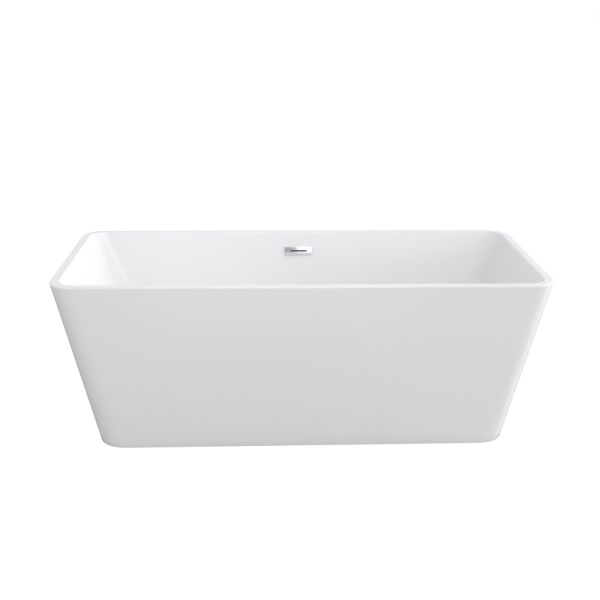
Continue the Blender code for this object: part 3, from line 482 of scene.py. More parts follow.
# %% Chrome, dipped steel and plated fasteners
def make_chrome():
    """Bright plating, a little cool, with the faint haze of wiping."""
    made, tree, shader = finish("polished_chrome", metallic=1.0, roughness=0.06, colour=(0.82, 0.82, 0.84))
    marked(tree, shader, 0.035, 0.085, 40.0)
    wavy(tree, shader, Peel_size=350.0, Peel_height=0.03, Swell_size=25.0, Swell_height=0.02)
    return made


def make_dipped_steel():
    """Hot-dip zinc over steel: flat crystals, each with its own tone and gloss."""
    made, tree, shader = finish("dipped_steel", metallic=1.0, roughness=0.4, colour=(0.55, 0.57, 0.59))
    crystals = use_group(tree, zinc_spangle, Size=110.0)
    tree.links.new(crystals.outputs["Colour"], shader.inputs["Base Color"])
    tree.links.new(crystals.outputs["Roughness"], shader.inputs["Roughness"])
    wavy(tree, shader, Peel_size=180.0, Peel_height=0.25, Swell_size=20.0, Swell_height=0.05)
    return made


def make_plated_fastener():
    """Bright zinc with patches of yellow passivation."""
    made, tree, shader = finish("plated_fastener", metallic=1.0, roughness=0.3, colour=(0.66, 0.66, 0.62))
    tint = use_group(tree, dusting, Clean=(0.70, 0.70, 0.69, 1), Dust=(0.66, 0.60, 0.42, 1), Amount=0.7,
                     Size=70.0)
    tree.links.new(tint.outputs["Colour"], shader.inputs["Base Color"])
    marked(tree, shader, 0.20, 0.38, 120.0)
    return made


chrome, dipped_steel, plated_fastener = make_chrome(), make_dipped_steel(), make_plated_fastener()
print("metals:", chrome.name, dipped_steel.name, plated_fastener.name)


# %% Plastics, rubber and adhesive
def make_moulded(name, colour, low, high, dust, peel):
    """Moulded or cast stuff: fine peel, patches of gloss and a little dust."""
    made, tree, shader = finish(name, roughness=(low + high) / 2, colour=colour)
    dusted(tree, shader, colour, dust, 14.0)
    marked(tree, shader, low, high, 30.0)
    wavy(tree, shader, Peel_size=peel, Peel_height=0.35, Swell_size=30.0, Swell_height=0.08)
    return made


grey_plastic = make_moulded("grey_plastic", (0.34, 0.35, 0.36), 0.38, 0.52, 0.10, 900.0)
black_plastic = make_moulded("black_plastic", (0.035, 0.035, 0.040), 0.34, 0.50, 0.06, 900.0)
black_rubber = make_moulded("black_rubber", (0.028, 0.028, 0.028), 0.60, 0.78, 0.12, 1400.0)
adhesive = make_moulded("squeezed_adhesive", (0.56, 0.55, 0.50), 0.50, 0.70, 0.05, 260.0)
print("moulded:", grey_plastic.name, black_plastic.name, black_rubber.name, adhesive.name)


# %% Plywood
PLY_PAIR = 0.0034              # thickness of two plies, one light and one dark at the edge


def make_plywood():
    """Birch plywood: long grain on the faces and dark glue lines between the plies at the edge."""
    made, tree, shader = finish("birch_plywood", roughness=0.62, colour=(0.56, 0.41, 0.24))
    where = on_piece(tree)
    along = place(tree, "ShaderNodeMapping", {"Vector": where, "Scale": (3.0, 55.0, 55.0)})
    grain = place(tree, "ShaderNodeTexNoise", {"Vector": along.outputs["Vector"], "Scale": 1.6, "Detail": 6.0,
                                               "Distortion": 0.6})
    veneer = mix_colours(tree, grain.outputs["Fac"], (0.42, 0.28, 0.15, 1), (0.70, 0.55, 0.35, 1))
    height = place(tree, "ShaderNodeSeparateXYZ", {"Vector": where})
    plies = place(tree, "ShaderNodeMath", {0: height.outputs["Z"], 1: 2 * pi / PLY_PAIR},
                  operation="MULTIPLY")
    swing = place(tree, "ShaderNodeMath", {0: plies.outputs[0]}, operation="SINE")
    lines = place(tree, "ShaderNodeMapRange", {"Value": swing.outputs[0], "From Min": -0.2, "From Max": 0.6,
                                               "To Min": 0.45, "To Max": 1.0})
    edge = mix_colours(tree, 1.0, veneer, lines.outputs["Result"], blend_type="MULTIPLY")
    facing = place(tree, "ShaderNodeSeparateXYZ",
                   {"Vector": place(tree, "ShaderNodeTexCoord").outputs["Normal"]})
    flat = place(tree, "ShaderNodeMath", {0: facing.outputs["Z"]}, operation="ABSOLUTE")
    tree.links.new(mix_colours(tree, flat.outputs[0], edge, veneer), shader.inputs["Base Color"])
    relief = place(tree, "ShaderNodeBump", {"Height": grain.outputs["Fac"], "Strength": 0.4,
                                            "Distance": 0.0006})
    tree.links.new(relief.outputs["Normal"], shader.inputs["Normal"])
    return made


plywood = make_plywood()
print("wood:", plywood.name)

# %% [markdown]
# ## The two acrylic skins
#
# The basin is one formed sheet: flat seat round the outlet, gently falling floor, a generous
# fillet, four leaning walls and the rim, which turns down over the skirt's top edge. A skin over
# about thirty outlines gives all of it, with extra outlines beside each tight edge so that the
# edge stays crisp and the broad faces stay calm.

# %% Sizes of the skins
GAP = 0.0003
TUB_HALF_X, TUB_HALF_Y, TUB_HEIGHT = cad_high.x, cad_high.y, cad_high.z
END_FLARE, SIDE_FLARE = 0.1365, 0.0635
RIM_RADIUS, BASE_RADIUS = 0.090, 0.094
RIM_WIDTH, RIM_EDGE, INNER_EDGE = 0.032, 0.006, 0.004
LIP_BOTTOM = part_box("outer_skirt")[1].z + GAP
SKIRT_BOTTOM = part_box("outer_skirt")[0].z
BASIN_WALL, SKIRT_WALL, SKIRT_FLANGE = 0.006, 0.005, 0.018
END_SLOPE, SIDE_SLOPE = 0.445, 0.20
FLOOR_HEIGHT, FLOOR_FALL, FLOOR_FILLET, FLOOR_RADIUS = 0.155, 0.006, 0.070, 0.110
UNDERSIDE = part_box("basin")[0].z
SEAT_LEVEL = FLOOR_HEIGHT - FLOOR_FALL
print(f"rim at {TUB_HEIGHT:.3f} m, lip to {LIP_BOTTOM:.3f} m, floor at {FLOOR_HEIGHT:.3f} m")


# %% Outlines of the skirt and of the basin
def outside_ring(z, inset=0.0, level=None):
    """The outer face's outline at a height, moved inwards, at a level of its own if given."""
    full = TUB_HEIGHT - RIM_EDGE
    missing = max(full - z, 0.0) / full
    radius = blend_values(BASE_RADIUS, RIM_RADIUS, z / TUB_HEIGHT)
    return outline(TUB_HALF_X - END_FLARE * missing - inset, TUB_HALF_Y - SIDE_FLARE * missing - inset,
                   radius - inset, z if level is None else level)


def wall_distance(z, half_at_rim, slope):
    """How far the basin's inner face is from its middle plane at a height."""
    lean = atan(slope)
    touch = FLOOR_HEIGHT + FLOOR_FILLET * (1 - sin(lean))
    if z >= touch:
        return half_at_rim - slope * (TUB_HEIGHT - z)
    middle = half_at_rim - slope * (TUB_HEIGHT - touch) - FLOOR_FILLET * cos(lean)
    below = FLOOR_HEIGHT + FLOOR_FILLET - z
    return middle + sqrt(max(FLOOR_FILLET**2 - below**2, 0.0))


def inside_ring(z, out_x=0.0, out_y=0.0, level=None):
    """The inner face's outline at a height, moved outwards by the wall."""
    share = (z - FLOOR_HEIGHT) / (TUB_HEIGHT - FLOOR_HEIGHT)
    radius = blend_values(FLOOR_RADIUS, RIM_RADIUS - RIM_WIDTH, share)
    return outline(wall_distance(z, TUB_HALF_X - RIM_WIDTH, END_SLOPE) + out_x,
                   wall_distance(z, TUB_HALF_Y - RIM_WIDTH, SIDE_SLOPE) + out_y,
                   radius + (out_x + out_y) / 2, z if level is None else level)


# %% Rings from the outlet's seat up the inside to the rim
def rounding(steps=6):
    """(inset, drop) pairs round a rim edge, from the flat top to the wall."""
    return [(RIM_EDGE * (1 - sin(a)), RIM_EDGE * (1 - cos(a))) for a in
            (pi / 2 * i / steps for i in range(steps + 1))]


SEAT_HALF = 0.042
FILLET_STEPS = 12
fillet_angles = [pi / 2 * i / FILLET_STEPS for i in range(FILLET_STEPS + 1)]
fillet_levels = [FLOOR_HEIGHT + FLOOR_FILLET * (1 - cos(a)) for a in fillet_angles]
floor_shares = (0.004, 0.02, 0.3, 0.6, 0.9, 0.98)


def floor_rings():
    """From the square-ish seat of the outlet to the edge of the fillet, falling to the outlet."""
    edge_x = wall_distance(FLOOR_HEIGHT, TUB_HALF_X - RIM_WIDTH, END_SLOPE)
    edge_y = wall_distance(FLOOR_HEIGHT, TUB_HALF_Y - RIM_WIDTH, SIDE_SLOPE)
    rings = []
    for share in floor_shares:
        level = SEAT_LEVEL + FLOOR_FALL * share
        rings.append(outline(blend_values(SEAT_HALF, edge_x, share), blend_values(SEAT_HALF, edge_y, share),
                             blend_values(0.7 * SEAT_HALF, FLOOR_RADIUS, share), level))
    return rings


inside_rings = floor_rings() + [inside_ring(z) for z in fillet_levels]
wall_levels = [blend_values(fillet_levels[-1], TUB_HEIGHT - INNER_EDGE, share) for share in
               (0.02, 0.2, 0.4, 0.6, 0.8, 0.95, 0.996)]
inside_rings += [inside_ring(z) for z in wall_levels]
soft_edge = [(INNER_EDGE * t**2, INNER_EDGE * (1 - t) ** 2) for t in (i / 6 for i in range(7))]
inside_rings += [inside_ring(TUB_HEIGHT - drop, out, out) for out, drop in soft_edge]
print(len(inside_rings), "outlines from the outlet to the rim")

# %% Rings across the rim, down the lip and back along the underside
margin = 0.0012                # an extra outline this close to each tight edge keeps the faces flat
rim_rings = [inside_ring(TUB_HEIGHT, INNER_EDGE + margin, INNER_EDGE + margin),
             outside_ring(TUB_HEIGHT, RIM_EDGE + margin)]
rim_rings += [outside_ring(TUB_HEIGHT, inset, TUB_HEIGHT - drop) for inset, drop in rounding()]
rim_rings += [outside_ring(TUB_HEIGHT - RIM_EDGE - margin), outside_ring(LIP_BOTTOM)]
end_wall, side_wall = BASIN_WALL * hypot(1, END_SLOPE), BASIN_WALL * hypot(1, SIDE_SLOPE)
back_rings = [outside_ring(LIP_BOTTOM, BASIN_WALL),
              outside_ring(LIP_BOTTOM, BASIN_WALL, TUB_HEIGHT - BASIN_WALL),
              inside_ring(TUB_HEIGHT - BASIN_WALL, end_wall, side_wall),
              inside_ring(fillet_levels[-1], end_wall, side_wall)]
for step in range(FILLET_STEPS - 1, -1, -1):
    thickness = blend_values(FLOOR_HEIGHT - UNDERSIDE, BASIN_WALL, step / FILLET_STEPS)
    out = thickness * sin(fillet_angles[step])
    drop = thickness * cos(fillet_angles[step])
    back_rings.append(inside_ring(fillet_levels[step], out, out, fillet_levels[step] - drop))
back_rings.append(outline(SEAT_HALF, SEAT_HALF, 0.7 * SEAT_HALF, UNDERSIDE))
front_bands = len(inside_rings) + len(rim_rings)

# %% Skin the basin and open its two holes
OPENING = (0.070, 0.016)
WALL_LEAN = atan(SIDE_SLOPE)
OVERFLOW_LEVEL = TUB_HEIGHT - 0.075
SCREW_APART = 0.043            # each cover screw from the overflow's middle
OVERFLOW_POINT = Vector((0, wall_distance(OVERFLOW_LEVEL, TUB_HALF_Y - RIM_WIDTH, SIDE_SLOPE),
                         OVERFLOW_LEVEL))
overflow_place = Matrix.Translation(OVERFLOW_POINT) @ Matrix.Rotation(pi / 2 - WALL_LEAN, 4, "X")


def small_rectangle(width, height, radius, z, steps=8):
    """A small rounded rectangle with plain round corners."""
    points = []
    for quarter, (side_x, side_y) in enumerate(((1, 1), (-1, 1), (-1, -1), (1, -1))):
        for step in range(steps + 1):
            angle = (quarter + step / steps) * pi / 2
            points.append(Vector((side_x * (width / 2 - radius) + radius * cos(angle),
                                  side_y * (height / 2 - radius) + radius * sin(angle), z)))
    return points


acrylic_basin = skin("acrylic_basin", inside_rings + rim_rings + back_rings,
                     [white_acrylic, resin_and_glass], paint=lambda band: 0 if band < front_bands - 1 else 1)
OUTLET_HOLE, SCREW_HOLE = 0.0235, 0.0023
cut(acrylic_basin, rod("outlet_cutter", OUTLET_HOLE, UNDERSIDE - 0.01, SEAT_LEVEL + 0.01, white_acrylic))
opening_cutter = skin("opening_cutter", [small_rectangle(*OPENING, 0.004, z) for z in (-0.02, 0.02)],
                      [white_acrylic], at=overflow_place)
cut(acrylic_basin, opening_cutter)
for hand in (-1, 1):
    cut(acrylic_basin, rod("screw_hole_cutter", SCREW_HOLE, -0.02, 0.02, white_acrylic, sides=24,
                           at=overflow_place @ Matrix.Translation((hand * SCREW_APART, 0, 0))))
settle(acrylic_basin, "tub", "white_acrylic", "basin")
print("basin:", len(acrylic_basin.data.polygons), "faces")

# %% The outer skirt
def make_skirt():
    """The outer sheet, flush with the lip, with its turned-in top and a rounded foot edge."""
    foot_edge = SKIRT_WALL / 2
    rings = []
    for i in range(7):
        angle = pi * i / 6
        level = SKIRT_BOTTOM + foot_edge * (1 - sin(angle))
        rings.append(outside_ring(SKIRT_BOTTOM, foot_edge * (1 + cos(angle)), level))
    levels = [blend_values(SKIRT_BOTTOM + foot_edge + margin, LIP_BOTTOM, share) for share in
              (0, 0.04, 0.2, 0.4, 0.6, 0.8, 0.96, 1)]
    rings += [outside_ring(z) for z in levels]
    outer_count = len(rings)
    under = LIP_BOTTOM - SKIRT_WALL
    rings += [outside_ring(LIP_BOTTOM, SKIRT_FLANGE), outside_ring(under, SKIRT_FLANGE),
              outside_ring(under, SKIRT_WALL), outside_ring(SKIRT_BOTTOM + 0.02, SKIRT_WALL)]
    skirt = skin("acrylic_skirt", rings, [white_acrylic, resin_and_glass], looped=True,
                 paint=lambda band: 0 if band < outer_count - 1 else 1)
    return settle(skirt, "tub", "white_acrylic", "outer_skirt")


acrylic_skirt = make_skirt()
print("skirt:", len(acrylic_skirt.data.polygons), "faces")

# %% [markdown]
# ## The overflow cover
#
# A small chromed box hides the hole in the back wall. Its front isn't quite flat: it crowns a
# little from end to end, so it gathers a gradient of the room instead of one flat tone. The shell
# is one looped skin that goes over the front, in at the slot and back along the inside, which
# gives the slot real thickness and rounded lips.

# %% Skin the cover
COVER_HALF, COVER_RISE, COVER_DEPTH, COVER_SKIN = 0.0565, 0.017, 0.010, 0.002
SLOT_HALF, SLOT_RISE = 0.0335, 0.003
CROWN_X, CROWN_Y = 0.0016, 0.0003


def crowned(ring):
    """Lower a ring's points towards the cover's ends and edges, so that its front crowns."""
    for point in ring:
        point.z -= CROWN_X * (point.x / COVER_HALF)**2 + CROWN_Y * (point.y / COVER_RISE)**2
    return ring


def make_cover():
    """The chromed shell with its slot."""
    corner, slot_corner, edge, lip = 0.003, 0.95 * SLOT_RISE, 0.0014, 0.0006
    rings = [outline(COVER_HALF, COVER_RISE, corner, z) for z in (GAP, 0.004, 0.0062)]
    for i in range(6):
        angle = pi / 2 * i / 5
        inset = edge * (1 - cos(angle))
        rings.append(crowned(outline(COVER_HALF - inset, COVER_RISE - inset, corner - 0.6 * inset,
                                     COVER_DEPTH - edge * (1 - sin(angle)))))
    for share in (0.05, 0.35, 0.65, 0.93):
        rings.append(crowned(outline(blend_values(COVER_HALF - edge, SLOT_HALF + lip, share),
                                     blend_values(COVER_RISE - edge, SLOT_RISE + lip, share),
                                     blend_values(0.0022, SLOT_RISE, share), COVER_DEPTH)))
    for i in range(5):
        angle = pi / 2 * i / 4
        rings.append(crowned(outline(SLOT_HALF + lip * (1 - sin(angle)), SLOT_RISE + lip * (1 - sin(angle)),
                                     slot_corner, COVER_DEPTH - lip * (1 - cos(angle)))))
    under = COVER_DEPTH - COVER_SKIN
    rings += [crowned(outline(SLOT_HALF, SLOT_RISE, slot_corner, under)),
              crowned(outline(COVER_HALF - COVER_SKIN, COVER_RISE - COVER_SKIN, 0.0012, under)),
              outline(COVER_HALF - COVER_SKIN, COVER_RISE - COVER_SKIN, 0.0012, GAP)]
    cover = skin("overflow_cover", rings, [chrome], looped=True, smooth_angle=50, at=overflow_place)
    return settle(cover, "tub", "chrome", "overflow_plate")


overflow_cover = make_cover()
print("cover:", len(overflow_cover.data.polygons), "faces at", tuple(round(v, 3) for v in OVERFLOW_POINT))

# %% [markdown]
# ## The outlet and its stopper
#
# The chromed outlet is a turned flange whose barrel goes down through the floor, with a spider of
# two bars that guides the stopper's stem. Turned parts need only a profile. The rounded edges
# matter most here, because a chromed edge is a bright line.

# %% Turn the outlet
def arc(centre, radius, start, end, steps=5):
    """Points of a circular arc in a profile, with its angles in degrees."""
    angles = [radians(blend_values(start, end, i / steps)) for i in range(steps + 1)]
    return [(centre[0] + radius * cos(angle), centre[1] + radius * sin(angle)) for angle in angles]


flange_low, flange_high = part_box("drain_flange")
BORE, BARREL_RADIUS, DISC_RADIUS, STEM_RADIUS = 0.019, 0.022, flange_high.x, 0.004
DISC_TOP = flange_high.z


def make_outlet():
    """Flange and barrel as one turned shell, with the spider joined in."""
    edge, mouth, disc_bottom = 0.0012, 0.0025, DISC_TOP - 0.003
    profile = [(BORE, flange_low.z), (BARREL_RADIUS, flange_low.z), (BARREL_RADIUS, disc_bottom),
               (DISC_RADIUS - 0.0006, disc_bottom)]
    profile += arc((DISC_RADIUS - edge, DISC_TOP - edge), edge, -35, 90, 6)
    profile += [(BORE + 0.006, DISC_TOP)] + arc((BORE + mouth, DISC_TOP - mouth), mouth, 90, 180, 6)
    outlet = turned("outlet_flange", profile, chrome, closed=True, sides=96)
    bar_low = flange_low.z + 0.001
    hub = turned("outlet_hub", [(0, bar_low), (0.0064, bar_low), (0.007, bar_low + 0.0006),
                                (0.007, bar_low + 0.0072), (0.0062, bar_low + 0.008), (0, bar_low + 0.008)],
                 chrome, sides=48)
    bar_length, bar_width = 2 * (BORE + 0.0015), 0.004
    for wide, slim in ((bar_length, bar_width), (bar_width, bar_length)):
        bar = skin("outlet_bar", [small_rectangle(wide, slim, 0.0007, z, 3) for z in
                                  (bar_low + GAP, bar_low + 0.005)], [chrome])
        cut(outlet, bar, "UNION")
    cut(outlet, hub, "UNION")
    cut(outlet, rod("stem_hole", STEM_RADIUS + GAP, bar_low - 0.01, bar_low + 0.02, chrome, sides=32))
    return settle(outlet, "tub", "chrome", "drain_flange")


outlet_flange = make_outlet()
print("outlet:", len(outlet_flange.data.polygons), "faces, disc", round(2000 * DISC_RADIUS, 1), "mm across")


# %% Turn the stopper
def make_stopper():
    """Cap, seal and stem; all three ride on the stopper."""
    low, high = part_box("stopper_cap")
    radius, rise = high.x, high.z - low.z
    cap = [(0, low.z), (radius - 0.0016, low.z)] + arc((radius - 0.0015, low.z + 0.0015), 0.0015, -90, 40, 5)
    for share in (0.93, 0.85, 0.72, 0.58, 0.44, 0.3, 0.16, 0.0):
        cap.append((radius * share, low.z + 0.0031 + (rise - 0.0031) * sqrt(1 - share**2)))
    settle(turned("stopper_dome", cap, chrome, sides=96), "stopper", "chrome", "stopper_cap")
    low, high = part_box("stopper_seal")
    middle, half = (high.z + low.z) / 2, (high.z - low.z) / 2
    hole, soft = 0.0215, 0.0004
    seal = arc((high.x - half, middle), half, -90, 90, 6)
    seal += [(hole + soft, high.z), (hole, high.z - soft), (hole, low.z + soft), (hole + soft, low.z)]
    settle(turned("stopper_ring", seal, black_rubber, closed=True, sides=96), "stopper", "black_rubber",
           "stopper_seal")
    low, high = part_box("stopper_stem")
    stem = [(0, low.z), (high.x - 0.0005, low.z), (high.x, low.z + 0.0005), (high.x, low.z + 0.0025),
            (high.x - 0.0005, low.z + 0.003), (STEM_RADIUS, low.z + 0.003)]
    waist = STEM_RADIUS - 0.0006
    stem += [(STEM_RADIUS, high.z - 0.012), (waist, high.z - 0.0115), (waist, high.z - 0.0095),
             (STEM_RADIUS, high.z - 0.009), (STEM_RADIUS, high.z), (0, high.z)]
    settle(turned("stopper_rod", stem, plated_fastener, sides=48), "stopper", "zinc_fastener", "stopper_stem")


make_stopper()

# %% [markdown]
# ## Nuts that hands and spanners turn
#
# Waste fittings have nuts with grip ribs, and the steel ones are hexagons with their corners
# turned off. A ribbed nut is a skin whose outline swings in and out. A hexagon nut is what is left
# where a hexagonal bar and a turned blank overlap, which is just how a real one gets its
# curved chamfers.

# %% Ribbed nuts
def ribbed_ring(radius, groove, ribs, z, points=192):
    """A circle with shallow round grooves between its ribs."""
    ring = []
    for i in range(points):
        angle = 2 * pi * i / points
        swing = 0.5 - 0.5 * cos(ribs * angle)
        depth = groove * swing**0.6
        ring.append(Vector(((radius - depth) * cos(angle), (radius - depth) * sin(angle), z)))
    return ring


def ribbed_nut(name, node, radius, bore, length, ribs, at):
    """A moulded nut with grip ribs and a plain collar at its open end."""
    collar = 0.0022
    levels = [(0.0007, 0, 0), (0, 0, 0.0007), (0, 0, collar - 0.0004), (0, 1, collar + 0.0004),
              (0, 1, length - 0.001), (0.0008, 1, length)]
    rings = [ribbed_ring(radius - inset, 0.0011 * groove, ribs, z) for inset, groove, z in levels]
    rings += [ribbed_ring(bore + 0.0004, 0, ribs, length), ribbed_ring(bore, 0, ribs, length - 0.0004),
              ribbed_ring(bore, 0, ribs, 0.0004), ribbed_ring(bore + 0.0004, 0, ribs, 0)]
    return settle(skin(name, rings, [black_plastic], looped=True, at=at), "tub", "black_plastic", node)


TAIL_BORE = 0.0203
tail_low, tail_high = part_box("tail_nut")
ribbed_nut("tail_grip_nut", "tail_nut", tail_high.x, TAIL_BORE, tail_high.z - tail_low.z, 18,
           Matrix.Translation((0, 0, tail_low.z)))
nut_low, nut_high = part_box("pipe_nut_bottom")
INLET_LEVEL = (nut_low.z + nut_high.z) / 2
NUT_LENGTH = nut_high.y - nut_low.y
PIPE_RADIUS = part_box("overflow_pipe")[1].x
NUT_RADIUS = nut_high.x
ribbed_nut("tee_grip_nut", "pipe_nut_bottom", NUT_RADIUS, PIPE_RADIUS + GAP, NUT_LENGTH, 14,
           Matrix.Translation((0, nut_low.y, INLET_LEVEL)) @ Matrix.Rotation(-pi / 2, 4, "X"))
SEAL_THICKNESS, SPIGOT_STEP, SPIGOT_WALL = 0.003, 0.001, 0.0012
SPIGOT_END = -0.045            # down the wall from the overflow's middle
PIPE_DEPTH = -(BASIN_WALL + SEAL_THICKNESS + SPIGOT_STEP + SPIGOT_WALL + PIPE_RADIUS + 3 * GAP)
spigot_place = overflow_place @ Matrix.Translation((0, SPIGOT_END - GAP, PIPE_DEPTH))
ribbed_nut("body_grip_nut", "pipe_nut_top", NUT_RADIUS, PIPE_RADIUS + GAP, NUT_LENGTH, 14,
           spigot_place @ Matrix.Rotation(pi / 2, 4, "X"))
print(f"pipe nuts {2000 * NUT_RADIUS:.1f} mm across on a {2000 * PIPE_RADIUS:.1f} mm pipe")


# %% Hexagon pieces
def hexagon_piece(name, across, low, high, bore, material, at, chamfer=0.12):
    """Where a hexagonal bar and a turned blank overlap, bored if it is a nut."""
    corner = across / sqrt(3)
    rings = [[Vector((corner * cos(k * pi / 3), corner * sin(k * pi / 3), z)) for k in range(6)]
             for z in (low, high)]
    piece = skin(name, rings, [material], at=at)
    slant, past_corner, face = 0.5 * chamfer * across, corner + 0.0001, 0.46 * across
    blank = [(bore, low), (face, low), (past_corner, low + slant), (past_corner, high - slant),
             (face, high), (bore, high)]
    return cut(piece, turned(f"{name}_blank", blank, material, closed=bore > 0, sides=72, at=at), "INTERSECT")


locknut_low, locknut_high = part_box("drain_locknut")
LOCKNUT_ACROSS = locknut_high.y - locknut_low.y
ROUND_BARREL = BARREL_RADIUS + GAP
settle(hexagon_piece("outlet_locknut", LOCKNUT_ACROSS, locknut_low.z, locknut_high.z, ROUND_BARREL,
                     black_plastic, Matrix(), 0.05), "tub", "black_plastic", "drain_locknut")
for node, finish_here, slot_here, bulge in (("drain_gasket", black_rubber, "black_rubber", 0.0012),
                                            ("drain_washer", black_plastic, "black_plastic", 0.0005)):
    low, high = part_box(node)
    slight = 0.3 * bulge
    ring = [(high.x - bulge, low.z), (high.x - slight, low.z + slight), (high.x, low.z + bulge),
            (high.x, high.z - bulge), (high.x - slight, high.z - slight), (high.x - bulge, high.z),
            (ROUND_BARREL, high.z), (ROUND_BARREL, low.z)]
    piece = turned(node.replace("drain", "outlet"), ring, finish_here, closed=True, sides=96)
    settle(piece, "tub", slot_here, node)
print(f"locknut {1000 * LOCKNUT_ACROSS:.0f} mm across its flats")

# %% [markdown]
# ## Tee, tail pipe and overflow pipe
#
# The tee is a moulding: a turned body with stiffening rims, a side branch joined to it, and bores
# cut through both. The overflow pipe is a circle carried along a route that comes down behind
# the back wall and bends in under the floor. Each circle stands square to the route, so the pipe
# keeps its width round the bend.

# %% Mould the tee
def make_tee():
    """Turned body with rims, joined to its branch, then bored."""
    low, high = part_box("waste_tee")
    radius, waist = high.x, high.x - 0.0012
    outside = [(0, low.z), (radius, low.z), (radius, low.z + 0.003), (waist, low.z + 0.0042),
               (waist, low.z + 0.011), (radius - 0.0004, low.z + 0.0118), (waist, low.z + 0.0126),
               (waist, high.z - 0.0042), (radius, high.z - 0.003), (radius, high.z), (0, high.z)]
    tee = turned("tee_moulding", outside, grey_plastic, sides=96)
    side = Matrix.Translation((0, 0, INLET_LEVEL)) @ Matrix.Rotation(-pi / 2, 4, "X")
    branch = [(0, 0.002), (NUT_RADIUS - 0.0012, 0.002), (NUT_RADIUS - 0.0012, high.y - 0.004),
              (NUT_RADIUS, high.y - 0.003), (NUT_RADIUS, high.y), (0, high.y)]
    cut(tee, turned("branch", branch, grey_plastic, at=side), "UNION")
    shoulder, tail_stop, past = flange_low.z - GAP, low.z + 0.010, 0.01
    bore = [(0, low.z - past), (TAIL_BORE, low.z - past), (TAIL_BORE, tail_stop), (BORE, tail_stop),
            (BORE, shoulder), (ROUND_BARREL, shoulder), (ROUND_BARREL, high.z + past), (0, high.z + past)]
    cut(tee, turned("tee_bore", bore, grey_plastic, sides=96))
    cut(tee, rod("branch_bore", PIPE_RADIUS + GAP, 0, high.y + past, grey_plastic, at=side))
    return settle(tee, "tub", "grey_plastic", "waste_tee")


tee_moulding = make_tee()
low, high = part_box("tail_pipe")
tail = [(high.x, low.z + 0.0006), (high.x - 0.0006, low.z), (high.x - 0.002, low.z), (high.x - 0.002, high.z),
        (high.x, high.z)]
settle(turned("tail_tube", tail, grey_plastic, closed=True, sides=96), "tub", "grey_plastic", "tail_pipe")
print("tee:", len(tee_moulding.data.polygons), "faces; side inlet at", round(INLET_LEVEL, 4), "m")


# %% Bend the overflow pipe
def make_pipe():
    """Down behind the wall, round one bend and along under the floor to the tee."""
    down = Vector((0, -sin(WALL_LEAN), -cos(WALL_LEAN)))
    start = overflow_place @ Vector((0, -0.022, PIPE_DEPTH))
    corner = start + down * ((start.z - INLET_LEVEL) / cos(WALL_LEAN))
    turn = acos(down.dot(Vector((0, -1, 0))))
    bend_radius = 0.060
    bend_start = corner - down * bend_radius * tan(turn / 2)
    to_centre = Vector((0, down.z, -down.y))
    centre = bend_start + to_centre * bend_radius
    path = [start, start.lerp(bend_start, 0.5)]
    for step in range(25):
        angle = turn * step / 24
        path.append(centre + bend_radius * (-to_centre * cos(angle) + down * sin(angle)))
    path += [Vector((0, 0.08, INLET_LEVEL)), Vector((0, 0.040, INLET_LEVEL))]
    rings = {PIPE_RADIUS: [], PIPE_RADIUS - 0.0015: []}
    across = Vector((1, 0, 0))
    angles = [2 * pi * k / 48 for k in range(48)]
    for index, point in enumerate(path):
        along = (path[min(index + 1, len(path) - 1)] - path[max(index - 1, 0)]).normalized()
        rise = across.cross(along)
        for radius, row in rings.items():
            row.append([point + radius * (across * cos(angle) + rise * sin(angle)) for angle in angles])
    outer, inner = rings.values()
    return settle(skin("overflow_tube", outer + inner[::-1], [grey_plastic], looped=True), "tub",
                  "grey_plastic", "overflow_pipe")


make_pipe()

# %% [markdown]
# ## The levelling feet
#
# Each foot is a moulded pad that swivels on the ball of a threaded stud. Turning the stud lifts
# the tub, so the thread is worth real geometry: rings stacked along the rod, whose radius dips
# where the groove passes, and the groove moves round by one turn in each pitch.

# %% Pad, stud and nut of one foot
PITCH, STUD_RADIUS, BALL_RADIUS, BALL_HEIGHT = 0.00175, 0.0058, 0.0075, 0.0092
THREAD_BOTTOM, THREAD_DEPTH, RINGS_PER_TURN = 0.0275, 0.0009, 6
HEXAGON_ACROSS, HEXAGON_BOTTOM, HEXAGON_TOP = 0.014, 0.020, 0.028
CORNERS = ("front_left", "front_right", "back_left", "back_right")


def middle_of(node):
    """The middle of a node in plan, and the node's box."""
    low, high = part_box(node)
    return (low.x + high.x) / 2, (low.y + high.y) / 2, low, high


def thread_ring(z, depth, points=28):
    """One circle of the rod, dented where the groove passes at this height."""
    ring = []
    for i in range(points):
        phase = (z / PITCH - i / points) % 1.0
        dent = depth * abs(2 * phase - 1)
        angle, radius = 2 * pi * i / points, STUD_RADIUS - dent
        ring.append(Vector((radius * cos(angle), radius * sin(angle), z)))
    return ring


